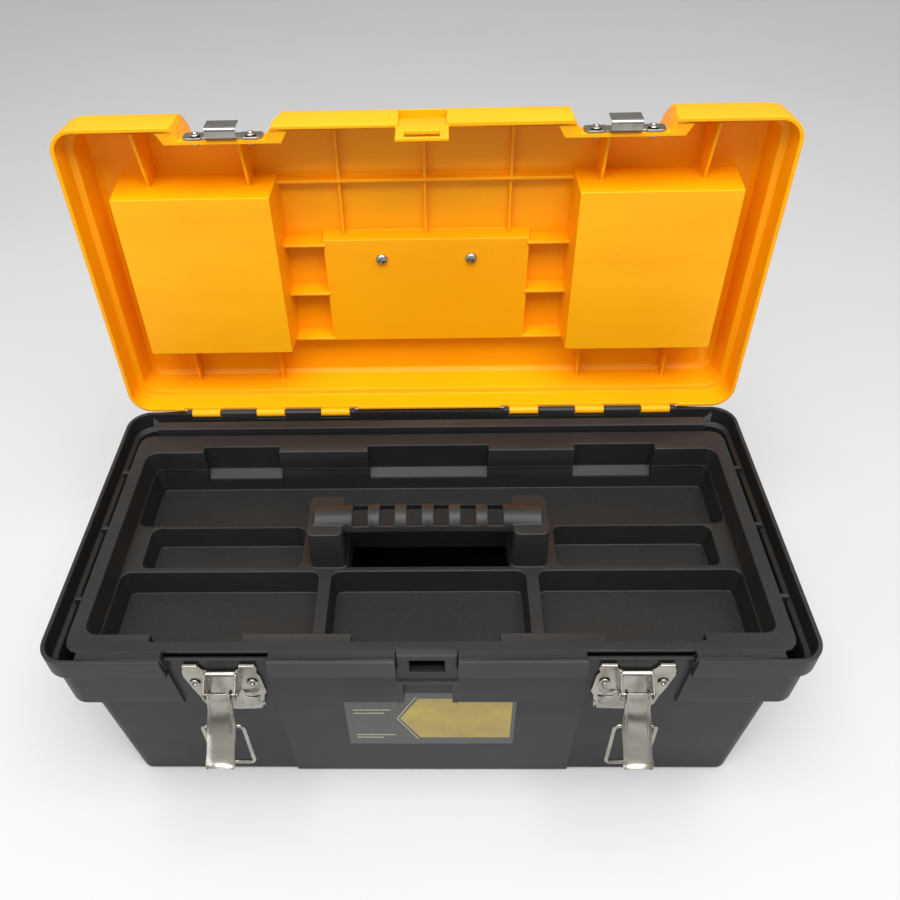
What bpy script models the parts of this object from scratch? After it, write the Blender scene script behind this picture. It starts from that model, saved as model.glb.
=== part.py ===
"""A plastic toolbox with a hinged lid, a lift-out tray, two draw latches and organiser covers.

Frame: X runs along the box, -Y is the latch side, +Z is up. The origin is the middle of the
tub's underside. Lengths are written in millimetres and turned into metres by MM.
The lid and all it carries are drawn closed, and one empty on the hinge axis holds them open.
"""
import math

import bmesh
import bpy
from mathutils import Matrix, Vector

MM = 0.001

# Driving dimensions, in millimetres
RIM_HALF_X = 215.8
RIM_FRONT_Y = -104.4
RIM_BACK_Y = 103.0
RIM_CORNER = 15.3
TUB_HEIGHT = 160.0
WALL = 2.6
GAP = 0.3

# Tub
BODY_TOP_HALF_X = 207.2
BODY_FOOT_HALF_X = 199.8
BODY_TOP_Y = (-88.8, 89.0)
BODY_FOOT_Y = (-86.8, 85.5)
BODY_TOP_Z = 108.5
FLANGE_HALF_X = 211.3
FLANGE_Y = (-100.7, 99.6)
FLANGE_LOW_Z = 110.0
BAND_LOW_Z = 145.0
FLOOR_THICK = 3.0
RAIL_TOP_Z = 159.6
RAIL_BACK_Y = -95.4
RAIL_ENDS_X = 194.0
PANEL_PROUD = 1.2
PANEL_HALF_X = 94.0
POCKET_INNER_X = 87.3
POCKET_OUTER_X = 146.2
POCKET_FACE_Y = -98.5
POCKET_TOP_Z = 154.0
LUG_HALF_X = 17.2
LUG_FACE_Y = -99.9
LUG_SLOT_HALF_X = 9.8
LUG_SLOT_Z = (143.0, 155.0)
NOTCH_HALF_X = 14.0
NOTCH_FACE_Y = -93.2
NOTCH_TOP_Z = 131.0
BAR_FRONT_Y = 84.5
BAR_BACK_Y = 92.5
RIB_TOP_Z = 152.2
RIB_THICK = 2.5

# Tray
TRAY_TOP_Z = 155.0
TRAY_RIM_THICK = 2.5
TRAY_HALF_X = 204.6
TRAY_FRONT_Y = -94.0
TRAY_BACK_Y = 83.0
WELL_HALF_X = 196.0
WELL_FRONT_Y = -82.0
WELL_BACK_Y = 65.3
RIDGE_TOP_Z = 138.5
RIDGE_FRONT_Y = -25.7
RIDGE_BACK_Y = 13.0
TRAY_FLOOR_Z = 119.0
TRAY_UNDER_Z = 117.0
TRAY_WALL = 2.0
DIVIDER_X = (60.5, 68.3)
SHALLOW_X = (80.8, 182.5)
SHALLOW_Y = (-22.0, 10.5)
SHALLOW_FLOOR_Z = 121.0
SCALLOP_SPANS = ((-157.0, -104.5), (-42.5, 41.0), (100.5, 155.0))
SCALLOP_DEPTH = 5.4
GRIP_Y = -5.5
GRIP_Z = 162.6
GRIP_RADIUS = 10.0
GRIP_WALL = 2.4
GRIP_HALF_X = 70.0
GRIP_ARCH = 1.5
GRIP_SLOT_PITCH = 16.6
GRIP_SLOT_WIDTH = 9.0
POST_X = (51.6, 74.5)
POST_Y = (-22.5, 11.5)
POST_TOP_Z = 168.5
HAND_HOLE_HALF_X = 51.2

# Lid, drawn closed: v is the distance forward from the back face, w the height above the tub
LID_DEPTH = 38.0
LID_WALL_V = 201.0
LID_OPEN_ANGLE = 92.0
HINGE_Y = 103.0
HINGE_Z = 158.5
HINGE_RADIUS = 3.0
PIN_RADIUS = 1.2
PIN_HOLE_RADIUS = 1.5
HINGE_START_X = 57.5
LID_EAR_WIDTH = 20.4
LID_EAR_PITCH = 46.8
LID_EARS = 3
TUB_EAR_RADIUS = 2.4
BOX_X = (93.8, 191.5)
BOX_V = (48.0, 162.0)
BOX_FACE_W = 5.0
PAD_HALF_X = 67.0
PAD_V = (45.0, 123.0)
PAD_FACE_W = 24.0
STRIKE_X = 114.8
STRIKE_RIVET_X = 16.1
STRIKE_RIVET_W = 5.2
STRIKE_V = 199.5
PAD_LOCK_V = 205.6

# Latches
LATCH_X = 115.8
LEVER_PIVOT = (-109.0, 135.5)
BAIL_PIVOT = (-118.6, 118.9)
BAIL_LENGTH = 43.0
BAIL_HALF_X = 11.6
WIRE_RADIUS = 1.15
LATCH_STEEL = 1.2
LATCH_RIVETS = ((-16.4, 133.4), (16.4, 133.9))

# Organiser covers and carry handle
COVER_HINGE_X = 197.0
COVER_HINGE_W = 41.0
COVER_THICK = 2.2
HANDLE_V = 109.0
HANDLE_W = 32.5
HANDLE_SCREW_X = 29.4
HANDLE_ARM_X = (48.0, 57.0)
HANDLE_GRIP_V = 57.0

CORNER_STEPS = 6


def clear_scene():
    for item in list(bpy.data.objects):
        bpy.data.objects.remove(item, do_unlink=True)


def material(name, colour, roughness, metallic=0.0):
    made = bpy.data.materials.new(name)
    made.use_nodes = True
    shader = made.node_tree.nodes["Principled BSDF"]
    shader.inputs["Base Color"].default_value = (*colour, 1.0)
    shader.inputs["Roughness"].default_value = roughness
    shader.inputs["Metallic"].default_value = metallic
    return made


# ---------------------------------------------------------------- mesh helpers

def rounded_ring(half_x, half_y, radius, z, centre=(0.0, 0.0), steps=CORNER_STEPS):
    """Points of a rounded rectangle at height z, anticlockwise."""
    points = []
    for corner in range(4):
        sign_x = 1 if corner in (0, 3) else -1
        sign_y = 1 if corner in (0, 1) else -1
        for step in range(steps + 1):
            angle = math.radians(90.0 * corner + 90.0 * step / steps)
            x = centre[0] + sign_x * (half_x - radius) + radius * math.cos(angle)
            y = centre[1] + sign_y * (half_y - radius) + radius * math.sin(angle)
            points.append((x, y, z))
    return points


def rect_ring(x_span, y_span, radius, z, steps=3):
    """A rounded rectangle given by its spans."""
    half_x = (x_span[1] - x_span[0]) / 2
    half_y = (y_span[1] - y_span[0]) / 2
    centre = ((x_span[0] + x_span[1]) / 2, (y_span[0] + y_span[1]) / 2)
    return rounded_ring(half_x, half_y, radius, z, centre, steps)


def inset_ring(z, half_x, y_span, inset, radius):
    """A rounded rectangle centred in X, drawn in from its spans by an inset."""
    x_reach = half_x - inset
    y_reach = (y_span[0] + inset, y_span[1] - inset)
    return rect_ring((-x_reach, x_reach), y_reach, radius, z, CORNER_STEPS)


def loft(bm, rings):
    """A closed solid through rings of equal point count, capped at both ends."""
    rows = [[bm.verts.new(Vector(point) * MM) for point in ring] for ring in rings]
    count = len(rows[0])
    for lower, upper in zip(rows, rows[1:]):
        for index in range(count):
            following = (index + 1) % count
            bm.faces.new((lower[index], lower[following], upper[following], upper[index]))
    bm.faces.new(list(reversed(rows[0])))
    bm.faces.new(rows[-1])


def box(bm, low, high):
    x_span, y_span = (low[0], high[0]), (low[1], high[1])
    frustum(bm, (x_span, y_span, low[2]), (x_span, y_span, high[2]))


def frustum(bm, lower, upper):
    """A block between two rectangles, each given as (x span, y span, z)."""
    rings = []
    for (x0, x1), (y0, y1), z in (lower, upper):
        rings.append([(x0, y0, z), (x1, y0, z), (x1, y1, z), (x0, y1, z)])
    loft(bm, rings)


def prism_x(bm, outline, x0, x1):
    """Extrudes an outline of (y, z) points along X."""
    loft(bm, [[(x, y, z) for y, z in outline] for x in (x0, x1)])


def prism_y(bm, outline, y0, y1):
    """Extrudes an outline of (x, z) points along Y."""
    loft(bm, [[(x, y, z) for x, z in outline] for y in (y0, y1)])


def prism_z(bm, outline, z0, z1):
    """Extrudes an outline of (x, y) points along Z."""
    loft(bm, [[(x, y, z) for x, y in outline] for z in (z0, z1)])


def circle(centre, radius, sides=16):
    points = []
    for index in range(sides):
        angle = 2 * math.pi * (index + 0.5) / sides
        points.append((centre[0] + radius * math.cos(angle), centre[1] + radius * math.sin(angle)))
    return points


def make(name, build, finish=None, origin=(0.0, 0.0, 0.0), parent=None, smooth=None):
    """An object whose mesh build(bm) draws in the box's frame, with its origin where asked."""
    bm = bmesh.new()
    build(bm)
    bmesh.ops.translate(bm, verts=bm.verts, vec=-Vector(origin) * MM)
    bmesh.ops.recalc_face_normals(bm, faces=bm.faces)
    mesh = bpy.data.meshes.new(name)
    bm.to_mesh(mesh)
    bm.free()
    if smooth is not None:
        mesh.shade_smooth()
        mesh.set_sharp_from_angle(angle=math.radians(smooth))
    item = bpy.data.objects.new(name, mesh)
    bpy.context.scene.collection.objects.link(item)
    item.location = Vector(origin) * MM
    if parent is not None:
        item.parent = parent
    if finish is not None:
        mesh.materials.append(finish)
    return item


def carve(target, name, operation, build):
    """Unites target with, or cuts from it, the solid that build(bm) draws in the box's frame."""
    tool = make(name, build, parent=target.parent)
    tool.hide_render = True
    tool.display_type = "WIRE"
    modifier = target.modifiers.new(name, "BOOLEAN")
    modifier.operation = operation
    modifier.solver = "EXACT"
    modifier.object = tool


def both_sides(build):
    """Draws the same solid at +X and, mirrored, at -X."""
    def draw(bm):
        build(bm, 1.0)
        build(bm, -1.0)
    return draw


def span(side, low, high):
    """An X span on one side of the box, lowest first."""
    return (low, high) if side > 0 else (-high, -low)


# ---------------------------------------------------------------- tub

def tub_shell(bm):
    rim = (RIM_FRONT_Y, RIM_BACK_Y)
    outer = [
        (0.0, BODY_FOOT_HALF_X, BODY_FOOT_Y, 1.8, 6.5),
        (2.0, BODY_FOOT_HALF_X, BODY_FOOT_Y, 0.0, 8.3),
        (BODY_TOP_Z, BODY_TOP_HALF_X, BODY_TOP_Y, 0.0, 7.6),
        (FLANGE_LOW_Z, FLANGE_HALF_X, FLANGE_Y, 2.2, 9.5),
        (FLANGE_LOW_Z + 2.6, FLANGE_HALF_X, FLANGE_Y, 0.0, 11.0),
        (BAND_LOW_Z - 0.8, FLANGE_HALF_X + 1.8, FLANGE_Y, 0.0, 12.6),
        (BAND_LOW_Z, RIM_HALF_X, rim, 0.0, RIM_CORNER),
        (TUB_HEIGHT, RIM_HALF_X, rim, 0.0, RIM_CORNER),
    ]
    inner = [
        (TUB_HEIGHT, RIM_HALF_X, rim, WALL, RIM_CORNER - WALL),
        (BAND_LOW_Z + 2.6, RIM_HALF_X, rim, WALL, RIM_CORNER - WALL),
        (BAND_LOW_Z + 1.4, FLANGE_HALF_X + 1.4, FLANGE_Y, WALL, 10.4),
        (FLANGE_LOW_Z + 4.5, FLANGE_HALF_X, FLANGE_Y, WALL, 9.0),
        (FLANGE_LOW_Z + 2.8, BODY_TOP_HALF_X, BODY_TOP_Y, WALL, 5.2),
        (FLOOR_THICK + 1.0, BODY_FOOT_HALF_X, BODY_FOOT_Y, WALL, 5.8),
        (FLOOR_THICK, BODY_FOOT_HALF_X, BODY_FOOT_Y, WALL + 1.0, 5.2),
    ]
    loft(bm, [inset_ring(*row) for row in outer + inner])


def tub_rails(bm):
    """The thick stretches of the front rim, and the block that carries the padlock eye."""
    low_z = BAND_LOW_Z + 1.0
    front_y = RIM_FRONT_Y + 1.3
    for side in (1.0, -1.0):
        for near, far in ((LUG_HALF_X, POCKET_INNER_X), (POCKET_OUTER_X, RAIL_ENDS_X)):
            x0, x1 = span(side, near, far)
            box(bm, (x0, front_y, low_z), (x1, RAIL_BACK_Y, RAIL_TOP_Z))
    box(bm, (-LUG_HALF_X + 0.4, front_y, low_z - 6.0), (LUG_HALF_X - 0.4, RAIL_BACK_Y + 0.7, RAIL_TOP_Z))


def tub_pocket_backs(bm, side):
    """The wall behind a latch pocket, set further in than the flange."""
    x0, x1 = span(side, POCKET_INNER_X - 2.7, POCKET_OUTER_X + 2.7)
    box(bm, (x0, FLANGE_Y[0] + 0.6, FLANGE_LOW_Z + 1.2), (x1, POCKET_FACE_Y + WALL, POCKET_TOP_Z))


def tub_notch_back(bm):
    """The body wall running up behind the notch under the padlock eye."""
    box(bm, (-17.0, FLANGE_Y[0] + 1.1, FLANGE_LOW_Z - 0.5), (17.0, NOTCH_FACE_Y + WALL, NOTCH_TOP_Z + 3.4))


def tub_front_panel(bm):
    """The raised middle of the front, where the label goes."""
    foot_y = BODY_FOOT_Y[0]
    top_y = BODY_TOP_Y[0]
    sunk = WALL / 2
    lower = ((-PANEL_HALF_X + 2.5, PANEL_HALF_X - 2.5), (foot_y - PANEL_PROUD, foot_y + sunk), 1.2)
    upper = ((-PANEL_HALF_X, PANEL_HALF_X), (top_y - PANEL_PROUD, top_y + sunk), FLANGE_LOW_Z + 1.0)
    frustum(bm, lower, upper)


def tub_panel_hollow(bm):
    """Keeps the wall behind the raised panel as thin as the rest."""
    foot_y = BODY_FOOT_Y[0] - PANEL_PROUD + WALL
    top_y = BODY_TOP_Y[0] - PANEL_PROUD + WALL
    reach = 5.0
    lower = ((-PANEL_HALF_X + 5.1, PANEL_HALF_X - 5.1), (foot_y, foot_y + reach), FLOOR_THICK + 3.0)
    upper = ((-PANEL_HALF_X + 2.7, PANEL_HALF_X - 2.7), (top_y, top_y + reach), BODY_TOP_Z - 3.0)
    frustum(bm, lower, upper)


def tub_back_bar(bm):
    """A shelf along the back with an upright bar that stiffens the hinge side."""
    shelf_z = 148.0
    shelf_top_z = 150.6
    back_y = RIM_BACK_Y - WALL / 2
    outline = [
        (BAR_FRONT_Y, shelf_z), (back_y, shelf_z), (back_y, shelf_top_z),
        (BAR_BACK_Y, shelf_top_z), (BAR_BACK_Y, RAIL_TOP_Z), (BAR_FRONT_Y, RAIL_TOP_Z),
    ]
    prism_x(bm, outline, -193.0, 193.0)


def tub_tray_ribs(bm):
    """Upright ribs inside the flange that the tray's rim sits on."""
    low_z = FLANGE_LOW_Z + 1.5
    half = RIB_THICK / 2
    back = [(76.5, low_z), (98.5, low_z), (98.5, 149.0), (83.6, 149.0), (83.6, RIB_TOP_Z), (76.5, RIB_TOP_Z)]
    for x in (-180.0, -72.0, 72.0, 180.0):
        box(bm, (x - half, -99.2, low_z), (x + half, -88.5, RIB_TOP_Z))
        prism_x(bm, back, x - half, x + half)
    for y in (-55.0, 0.0, 50.0):
        for side in (1.0, -1.0):
            x0, x1 = span(side, 200.6, 210.6)
            box(bm, (x0, y - half, low_z), (x1, y + half, RIB_TOP_Z))


def hinge_barrel(x_low, x_high, radius):
    def draw(bm, side):
        x0, x1 = span(side, x_low, x_high)
        prism_x(bm, circle((HINGE_Y, HINGE_Z), radius), x0, x1)
    return both_sides(draw)


def lid_ear_starts():
    return [HINGE_START_X + index * LID_EAR_PITCH for index in range(LID_EARS)]


def hinge_end_x():
    return lid_ear_starts()[-1] + LID_EAR_WIDTH


def tub_ear_slots(bm, side):
    """Room in the back rim for the lid's ears."""
    for start in lid_ear_starts():
        x0, x1 = span(side, start - GAP, start + LID_EAR_WIDTH + GAP)
        box(bm, (x0, 99.0, HINGE_Z - HINGE_RADIUS - 0.4), (x1, 107.5, TUB_HEIGHT + 2.0))


def tub_latch_pockets(bm, side):
    x0, x1 = span(side, POCKET_INNER_X, POCKET_OUTER_X)
    lower = ((x0 + 4.0, x1 - 4.0), (-110.0, POCKET_FACE_Y), FLANGE_LOW_Z - 6.0)
    upper = ((x0, x1), (-110.0, POCKET_FACE_Y), TUB_HEIGHT + 3.0)
    frustum(bm, lower, upper)


def tub_padlock_recess(bm):
    box(bm, (-LUG_HALF_X, -110.0, 136.0), (LUG_HALF_X, LUG_FACE_Y, TUB_HEIGHT + 3.0))


def tub_padlock_slot(bm):
    low, high = LUG_SLOT_Z
    box(bm, (-LUG_SLOT_HALF_X, -105.0, low), (LUG_SLOT_HALF_X, -92.0, high))


def tub_notch(bm):
    box(bm, (-NOTCH_HALF_X, -106.0, FLANGE_LOW_Z - 4.0), (NOTCH_HALF_X, NOTCH_FACE_Y, NOTCH_TOP_Z))


def tub_rivet_holes(bm, side):
    for x, z in LATCH_RIVETS:
        prism_y(bm, circle((side * (LATCH_X - x), z), 1.9, 12), -104.0, -92.0)


def build_tub(finish):
    tub = make("tub", tub_shell, finish, smooth=30)
    end_x = hinge_end_x()
    carve(tub, "tub_add_rails", "UNION", tub_rails)
    carve(tub, "tub_add_pocket_backs", "UNION", both_sides(tub_pocket_backs))
    carve(tub, "tub_add_notch_back", "UNION", tub_notch_back)
    carve(tub, "tub_add_front_panel", "UNION", tub_front_panel)
    carve(tub, "tub_cut_panel", "DIFFERENCE", tub_panel_hollow)
    carve(tub, "tub_add_back_bar", "UNION", tub_back_bar)
    carve(tub, "tub_add_ribs", "UNION", tub_tray_ribs)
    carve(tub, "tub_add_hinge", "UNION", hinge_barrel(HINGE_START_X - 4.0, end_x + 4.0, TUB_EAR_RADIUS))
    carve(tub, "tub_cut_ears", "DIFFERENCE", both_sides(tub_ear_slots))
    carve(tub, "tub_cut_pin", "DIFFERENCE", hinge_barrel(HINGE_START_X - 5.0, end_x + 5.0, PIN_HOLE_RADIUS))
    carve(tub, "tub_cut_pockets", "DIFFERENCE", both_sides(tub_latch_pockets))
    carve(tub, "tub_cut_recess", "DIFFERENCE", tub_padlock_recess)
    carve(tub, "tub_cut_slot", "DIFFERENCE", tub_padlock_slot)
    carve(tub, "tub_cut_notch", "DIFFERENCE", tub_notch)
    carve(tub, "tub_cut_rivets", "DIFFERENCE", both_sides(tub_rivet_holes))


# ---------------------------------------------------------------- tray

def tray_pan(bm):
    """The solid outside of the tray below its rim."""
    lower = rect_ring((-192.5, 192.5), (-81.0, 66.8), 7.0, TRAY_UNDER_Z)
    upper = rect_ring((-WELL_HALF_X - 1.9, WELL_HALF_X + 1.9), (WELL_FRONT_Y - 1.9, WELL_BACK_Y + 2.0), 9.0, 153.5)
    loft(bm, [lower, upper])


def tray_rim(bm):
    low_z = TRAY_TOP_Z - TRAY_RIM_THICK
    spans = ((-TRAY_HALF_X, TRAY_HALF_X), (TRAY_FRONT_Y, TRAY_BACK_Y))
    loft(bm, [rect_ring(*spans, 9.0, low_z), rect_ring(*spans, 9.0, TRAY_TOP_Z)])


def scallop_prism(bm, x_span, edge_y, outward, depth, low_z, high_z):
    """A shallow bay in the tray's long wall with a sloping foot."""
    near = edge_y - outward * 3.0
    far = edge_y + outward * depth
    outline = [(near, low_z - 3.0), (edge_y, low_z), (far, low_z + 4.5), (far, high_z), (near, high_z)]
    prism_x(bm, outline, *x_span)


def tray_bay_walls(bm):
    for x0, x1 in SCALLOP_SPANS:
        widened = (x0 - TRAY_WALL, x1 + TRAY_WALL)
        scallop_prism(bm, widened, WELL_BACK_Y, 1.0, SCALLOP_DEPTH + TRAY_WALL, 127.4, 153.9)
        scallop_prism(bm, widened, WELL_FRONT_Y, -1.0, SCALLOP_DEPTH + TRAY_WALL - 0.6, 127.4, 153.9)


def tray_bays(bm):
    for x_span in SCALLOP_SPANS:
        scallop_prism(bm, x_span, WELL_BACK_Y, 1.0, SCALLOP_DEPTH, 130.0, 156.0)
        scallop_prism(bm, x_span, WELL_FRONT_Y, -1.0, SCALLOP_DEPTH - 0.6, 130.0, 156.0)


def tray_well(bm):
    """The open space above the ridge and the dividers."""
    upper = rect_ring((-WELL_HALF_X - 0.1, WELL_HALF_X + 0.1), (WELL_FRONT_Y, WELL_BACK_Y), 7.0, 156.0)
    lower = rect_ring((-194.0, 194.0), (WELL_FRONT_Y + 0.8, WELL_BACK_Y - 0.2), 6.0, RIDGE_TOP_Z)
    loft(bm, [lower, upper])


def compartment(bm, x_span, y_span, floor_z, radius=5.0, draft=1.2):
    """A compartment below the ridge's level, narrowing to its floor."""
    top = rect_ring(x_span, y_span, radius, RIDGE_TOP_Z + 1.0)
    x_floor = (x_span[0] + draft, x_span[1] - draft)
    y_floor = (y_span[0] + draft, y_span[1] - draft)
    loft(bm, [rect_ring(x_floor, y_floor, radius - 1.0, floor_z), top])


def tray_back_compartment(bm):
    compartment(bm, (-193.2, 193.2), (RIDGE_BACK_Y, WELL_BACK_Y - 0.4), TRAY_FLOOR_Z)


def tray_front_compartments(bm):
    inner, outer = DIVIDER_X
    y_span = (WELL_FRONT_Y + 1.0, RIDGE_FRONT_Y)
    for x_span in ((-193.2, -outer), (-inner, inner), (outer, 193.2)):
        compartment(bm, x_span, y_span, TRAY_FLOOR_Z)


def tray_shallow_pockets(bm, side):
    compartment(bm, span(side, *SHALLOW_X), SHALLOW_Y, SHALLOW_FLOOR_Z)


def tray_hand_hole(bm):
    y_span = (POST_Y[0] + 0.6, POST_Y[1] - 0.6)
    box(bm, (-HAND_HOLE_HALF_X, y_span[0], 110.0), (HAND_HOLE_HALF_X, y_span[1], RIDGE_TOP_Z + 3.0))


def tray_under_hollows(bm, side):
    """The underside is hollow below the posts, the ridge ends and the dividers."""
    for (x_low, x_high), y_span, high_z in (
        ((54.2, 72.0), (-19.6, 8.6), 158.0),
        ((185.2, 189.6), (-19.6, 8.6), 136.0),
        ((63.0, 65.8), (-77.0, -29.0), 136.0),
    ):
        x0, x1 = span(side, x_low, x_high)
        box(bm, (x0, y_span[0], 110.0), (x1, y_span[1], high_z))


def tray_posts(bm, side):
    x_span = span(side, *POST_X)
    lower = rect_ring(x_span, POST_Y, 4.0, RIDGE_TOP_Z - 0.8)
    upper_x = (x_span[0] + 0.6, x_span[1] - 0.6)
    upper = rect_ring(upper_x, (POST_Y[0] + 0.8, POST_Y[1] - 0.8), 4.0, POST_TOP_Z)
    loft(bm, [lower, upper])


def grip_outline(rise):
    """The half-round shell of the grip in (y, z), open below."""
    sides = 9
    outer = []
    inner = []
    for index in range(sides + 1):
        angle = math.pi * index / sides
        cosine, sine = math.cos(angle), math.sin(angle)
        outer.append((GRIP_Y + GRIP_RADIUS * cosine, GRIP_Z + rise + GRIP_RADIUS * sine))
        inner_radius = GRIP_RADIUS - GRIP_WALL
        inner.append((GRIP_Y + inner_radius * cosine, GRIP_Z + rise + inner_radius * sine))
    return outer + list(reversed(inner))


def tray_grip(bm):
    stations = 12
    rings = []
    for index in range(stations + 1):
        along = 2.0 * index / stations - 1.0
        rise = GRIP_ARCH * (1.0 - along * along)
        rings.append([(GRIP_HALF_X * along, y, z) for y, z in grip_outline(rise)])
    loft(bm, rings)


def tray_grip_slots(bm):
    half = GRIP_SLOT_WIDTH / 2
    for index in range(6):
        x = (index - 2.5) * GRIP_SLOT_PITCH
        box(bm, (x - half, GRIP_Y - 8.6, 160.0), (x + half, GRIP_Y + 8.6, 180.0))


def build_tray(finish):
    tray = make("tray", tray_pan, finish, smooth=30)
    carve(tray, "tray_add_rim", "UNION", tray_rim)
    carve(tray, "tray_add_bays", "UNION", tray_bay_walls)
    carve(tray, "tray_cut_well", "DIFFERENCE", tray_well)
    carve(tray, "tray_cut_bays", "DIFFERENCE", tray_bays)
    carve(tray, "tray_cut_back", "DIFFERENCE", tray_back_compartment)
    carve(tray, "tray_cut_front", "DIFFERENCE", tray_front_compartments)
    carve(tray, "tray_cut_shallow", "DIFFERENCE", both_sides(tray_shallow_pockets))
    carve(tray, "tray_add_posts", "UNION", both_sides(tray_posts))
    carve(tray, "tray_add_grip", "UNION", tray_grip)
    carve(tray, "tray_cut_hole", "DIFFERENCE", tray_hand_hole)
    carve(tray, "tray_cut_under", "DIFFERENCE", both_sides(tray_under_hollows))
    carve(tray, "tray_cut_slots", "DIFFERENCE", tray_grip_slots)


# ---------------------------------------------------------------- lid

def lid_y(v):
    return RIM_BACK_Y - v


def lid_z(w):
    return TUB_HEIGHT + w


def v_span(v_low, v_high):
    """The Y span of a V span, lowest first."""
    return (lid_y(v_high), lid_y(v_low))


def lid_shell(bm):
    rim = (RIM_FRONT_Y, RIM_BACK_Y)
    outer = [
        (LID_DEPTH, 13.5, 8.0), (36.8, 9.5, 10.0), (33.5, 5.5, 12.0),
        (29.0, 2.4, 14.0), (23.0, 0.6, 15.0), (GAP, 0.0, RIM_CORNER),
    ]
    inner = [
        (GAP, WALL, RIM_CORNER - WALL), (14.6, 3.4, 12.2), (15.6, 7.5, 10.0),
        (33.0, 9.4, 8.5), (LID_DEPTH - 2.4, 12.5, 7.0),
    ]
    loft(bm, [inset_ring(lid_z(w), RIM_HALF_X, rim, inset, radius) for w, inset, radius in outer + inner])


def lid_box_shells(bm, side):
    """The outsides of the two organiser boxes that hang inside the lid."""
    x0, x1 = span(side, *BOX_X)
    lower = ((x0, x1), v_span(*BOX_V), lid_z(BOX_FACE_W))
    upper = ((x0 - 1.6, x1 + 1.6), v_span(BOX_V[0] - 2.0, BOX_V[1] + 3.0), lid_z(36.6))
    frustum(bm, lower, upper)


def lid_box_cavities(bm, side):
    x0, x1 = span(side, *BOX_X)
    lower = ((x0 + 2.0, x1 - 2.0), v_span(BOX_V[0] + 2.0, BOX_V[1] - 2.0), lid_z(BOX_FACE_W + 2.0))
    upper = ((x0 + 0.4, x1 - 0.4), v_span(BOX_V[0], BOX_V[1] + 1.0), lid_z(41.0))
    frustum(bm, lower, upper)


def lid_pad_shell(bm):
    lower = ((-PAD_HALF_X, PAD_HALF_X), v_span(*PAD_V), lid_z(PAD_FACE_W))
    upper = ((-68.4, 68.4), v_span(PAD_V[0] - 1.4, PAD_V[1] + 1.4), lid_z(36.7))
    frustum(bm, lower, upper)


def lid_pad_cavity(bm):
    """The recess on top of the lid where the carry handle folds away."""
    lower = ((-65.0, 65.0), v_span(PAD_V[0] + 2.0, PAD_V[1] - 2.0), lid_z(PAD_FACE_W + 2.0))
    upper = ((-66.2, 66.2), v_span(PAD_V[0] + 0.8, PAD_V[1] - 0.8), lid_z(41.0))
    frustum(bm, lower, upper)


def lid_cross_ribs(bm):
    """Ribs that run along X between the pad and the boxes."""
    for v in (46.5, 83.0, 119.5):
        for side in (1.0, -1.0):
            x0, x1 = span(side, PAD_HALF_X + 0.4, BOX_X[0] - 0.9)
            y0, y1 = v_span(v - 1.0, v + 1.0)
            box(bm, (x0 - 1.6, y0, lid_z(23.0)), (x1 + 1.6, y1, lid_z(36.3)))


def lid_long_rib(bm):
    y0, y1 = v_span(160.0, 162.2)
    box(bm, (-93.3, y0, lid_z(28.5)), (93.3, y1, lid_z(36.4)))


def lid_front_ribs(bm):
    """Upright ribs from the front wall to the pad."""
    for x in (-54.0, 0.0, 54.0):
        y0, y1 = v_span(124.0, LID_WALL_V)
        box(bm, (x - 1.0, y0, lid_z(31.0)), (x + 1.0, y1, lid_z(36.2)))


def lid_box_gussets(bm, side):
    """Gussets between the boxes and the lid's front and back walls."""
    for x in (108.0, 170.0):
        x0, x1 = span(side, x - 1.0, x + 1.0)
        front = [(lid_y(160.0), lid_z(19.8)), (lid_y(LID_WALL_V), lid_z(9.0)),
                 (lid_y(LID_WALL_V), lid_z(34.6)), (lid_y(160.0), lid_z(36.4))]
        prism_x(bm, front, x0, x1)
        back = [(lid_y(6.5), lid_z(26.0)), (lid_y(48.5), lid_z(26.0)),
                (lid_y(48.5), lid_z(36.4)), (lid_y(6.5), lid_z(34.6))]
        prism_x(bm, back, x0, x1)


def lid_notch_backs(bm, side):
    """The wall behind a latch notch."""
    centre_x = side * STRIKE_X
    profile = [(196.9, 0.6), (206.3, 0.6), (206.3, 22.0), (199.8, 34.0), (195.0, 36.6),
               (186.3, 36.6), (196.9, 11.5)]
    rings = []
    for sign in (-1.0, 1.0):
        ring = []
        for v, w in profile:
            half = 28.0 + (v - 186.3) * 0.57
            ring.append((centre_x + sign * half, lid_y(v), lid_z(w)))
        rings.append(ring)
    loft(bm, rings)


def lid_latch_notches(bm, side):
    """Notches that let the strike plates stand inside the lid's outline, ramped back at the top."""
    centre_x = side * STRIKE_X
    outer_y = lid_y(215.0)
    rings = []
    levels = ((STRIKE_V, -5.0, 25.0, 33.0), (STRIKE_V, 11.0, 25.0, 33.0), (186.0, 44.0, 27.0, 35.0))
    for floor_v, w, floor_half, outer_half in levels:
        floor_y, z = lid_y(floor_v), lid_z(w)
        rings.append([(centre_x - floor_half, floor_y, z), (centre_x - outer_half, outer_y, z),
                      (centre_x + outer_half, outer_y, z), (centre_x + floor_half, floor_y, z)])
    loft(bm, rings)


def lid_padlock_tab(bm):
    box(bm, (-15.0, lid_y(PAD_LOCK_V), lid_z(-16.0)), (15.0, lid_y(PAD_LOCK_V - 2.4), lid_z(16.0)))


def lid_padlock_notch(bm):
    """A dip in the front band that a padlock hangs in."""
    outline = [(lid_y(215.0), lid_z(-25.0)), (lid_y(PAD_LOCK_V), lid_z(-25.0)),
               (lid_y(PAD_LOCK_V), lid_z(12.0)), (lid_y(200.0), lid_z(26.0)), (lid_y(215.0), lid_z(26.0))]
    prism_x(bm, outline, -13.8, 13.8)


def lid_padlock_slot(bm):
    box(bm, (-LUG_SLOT_HALF_X, lid_y(212.0), lid_z(-14.0)), (LUG_SLOT_HALF_X, lid_y(200.0), lid_z(-5.5)))


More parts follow.
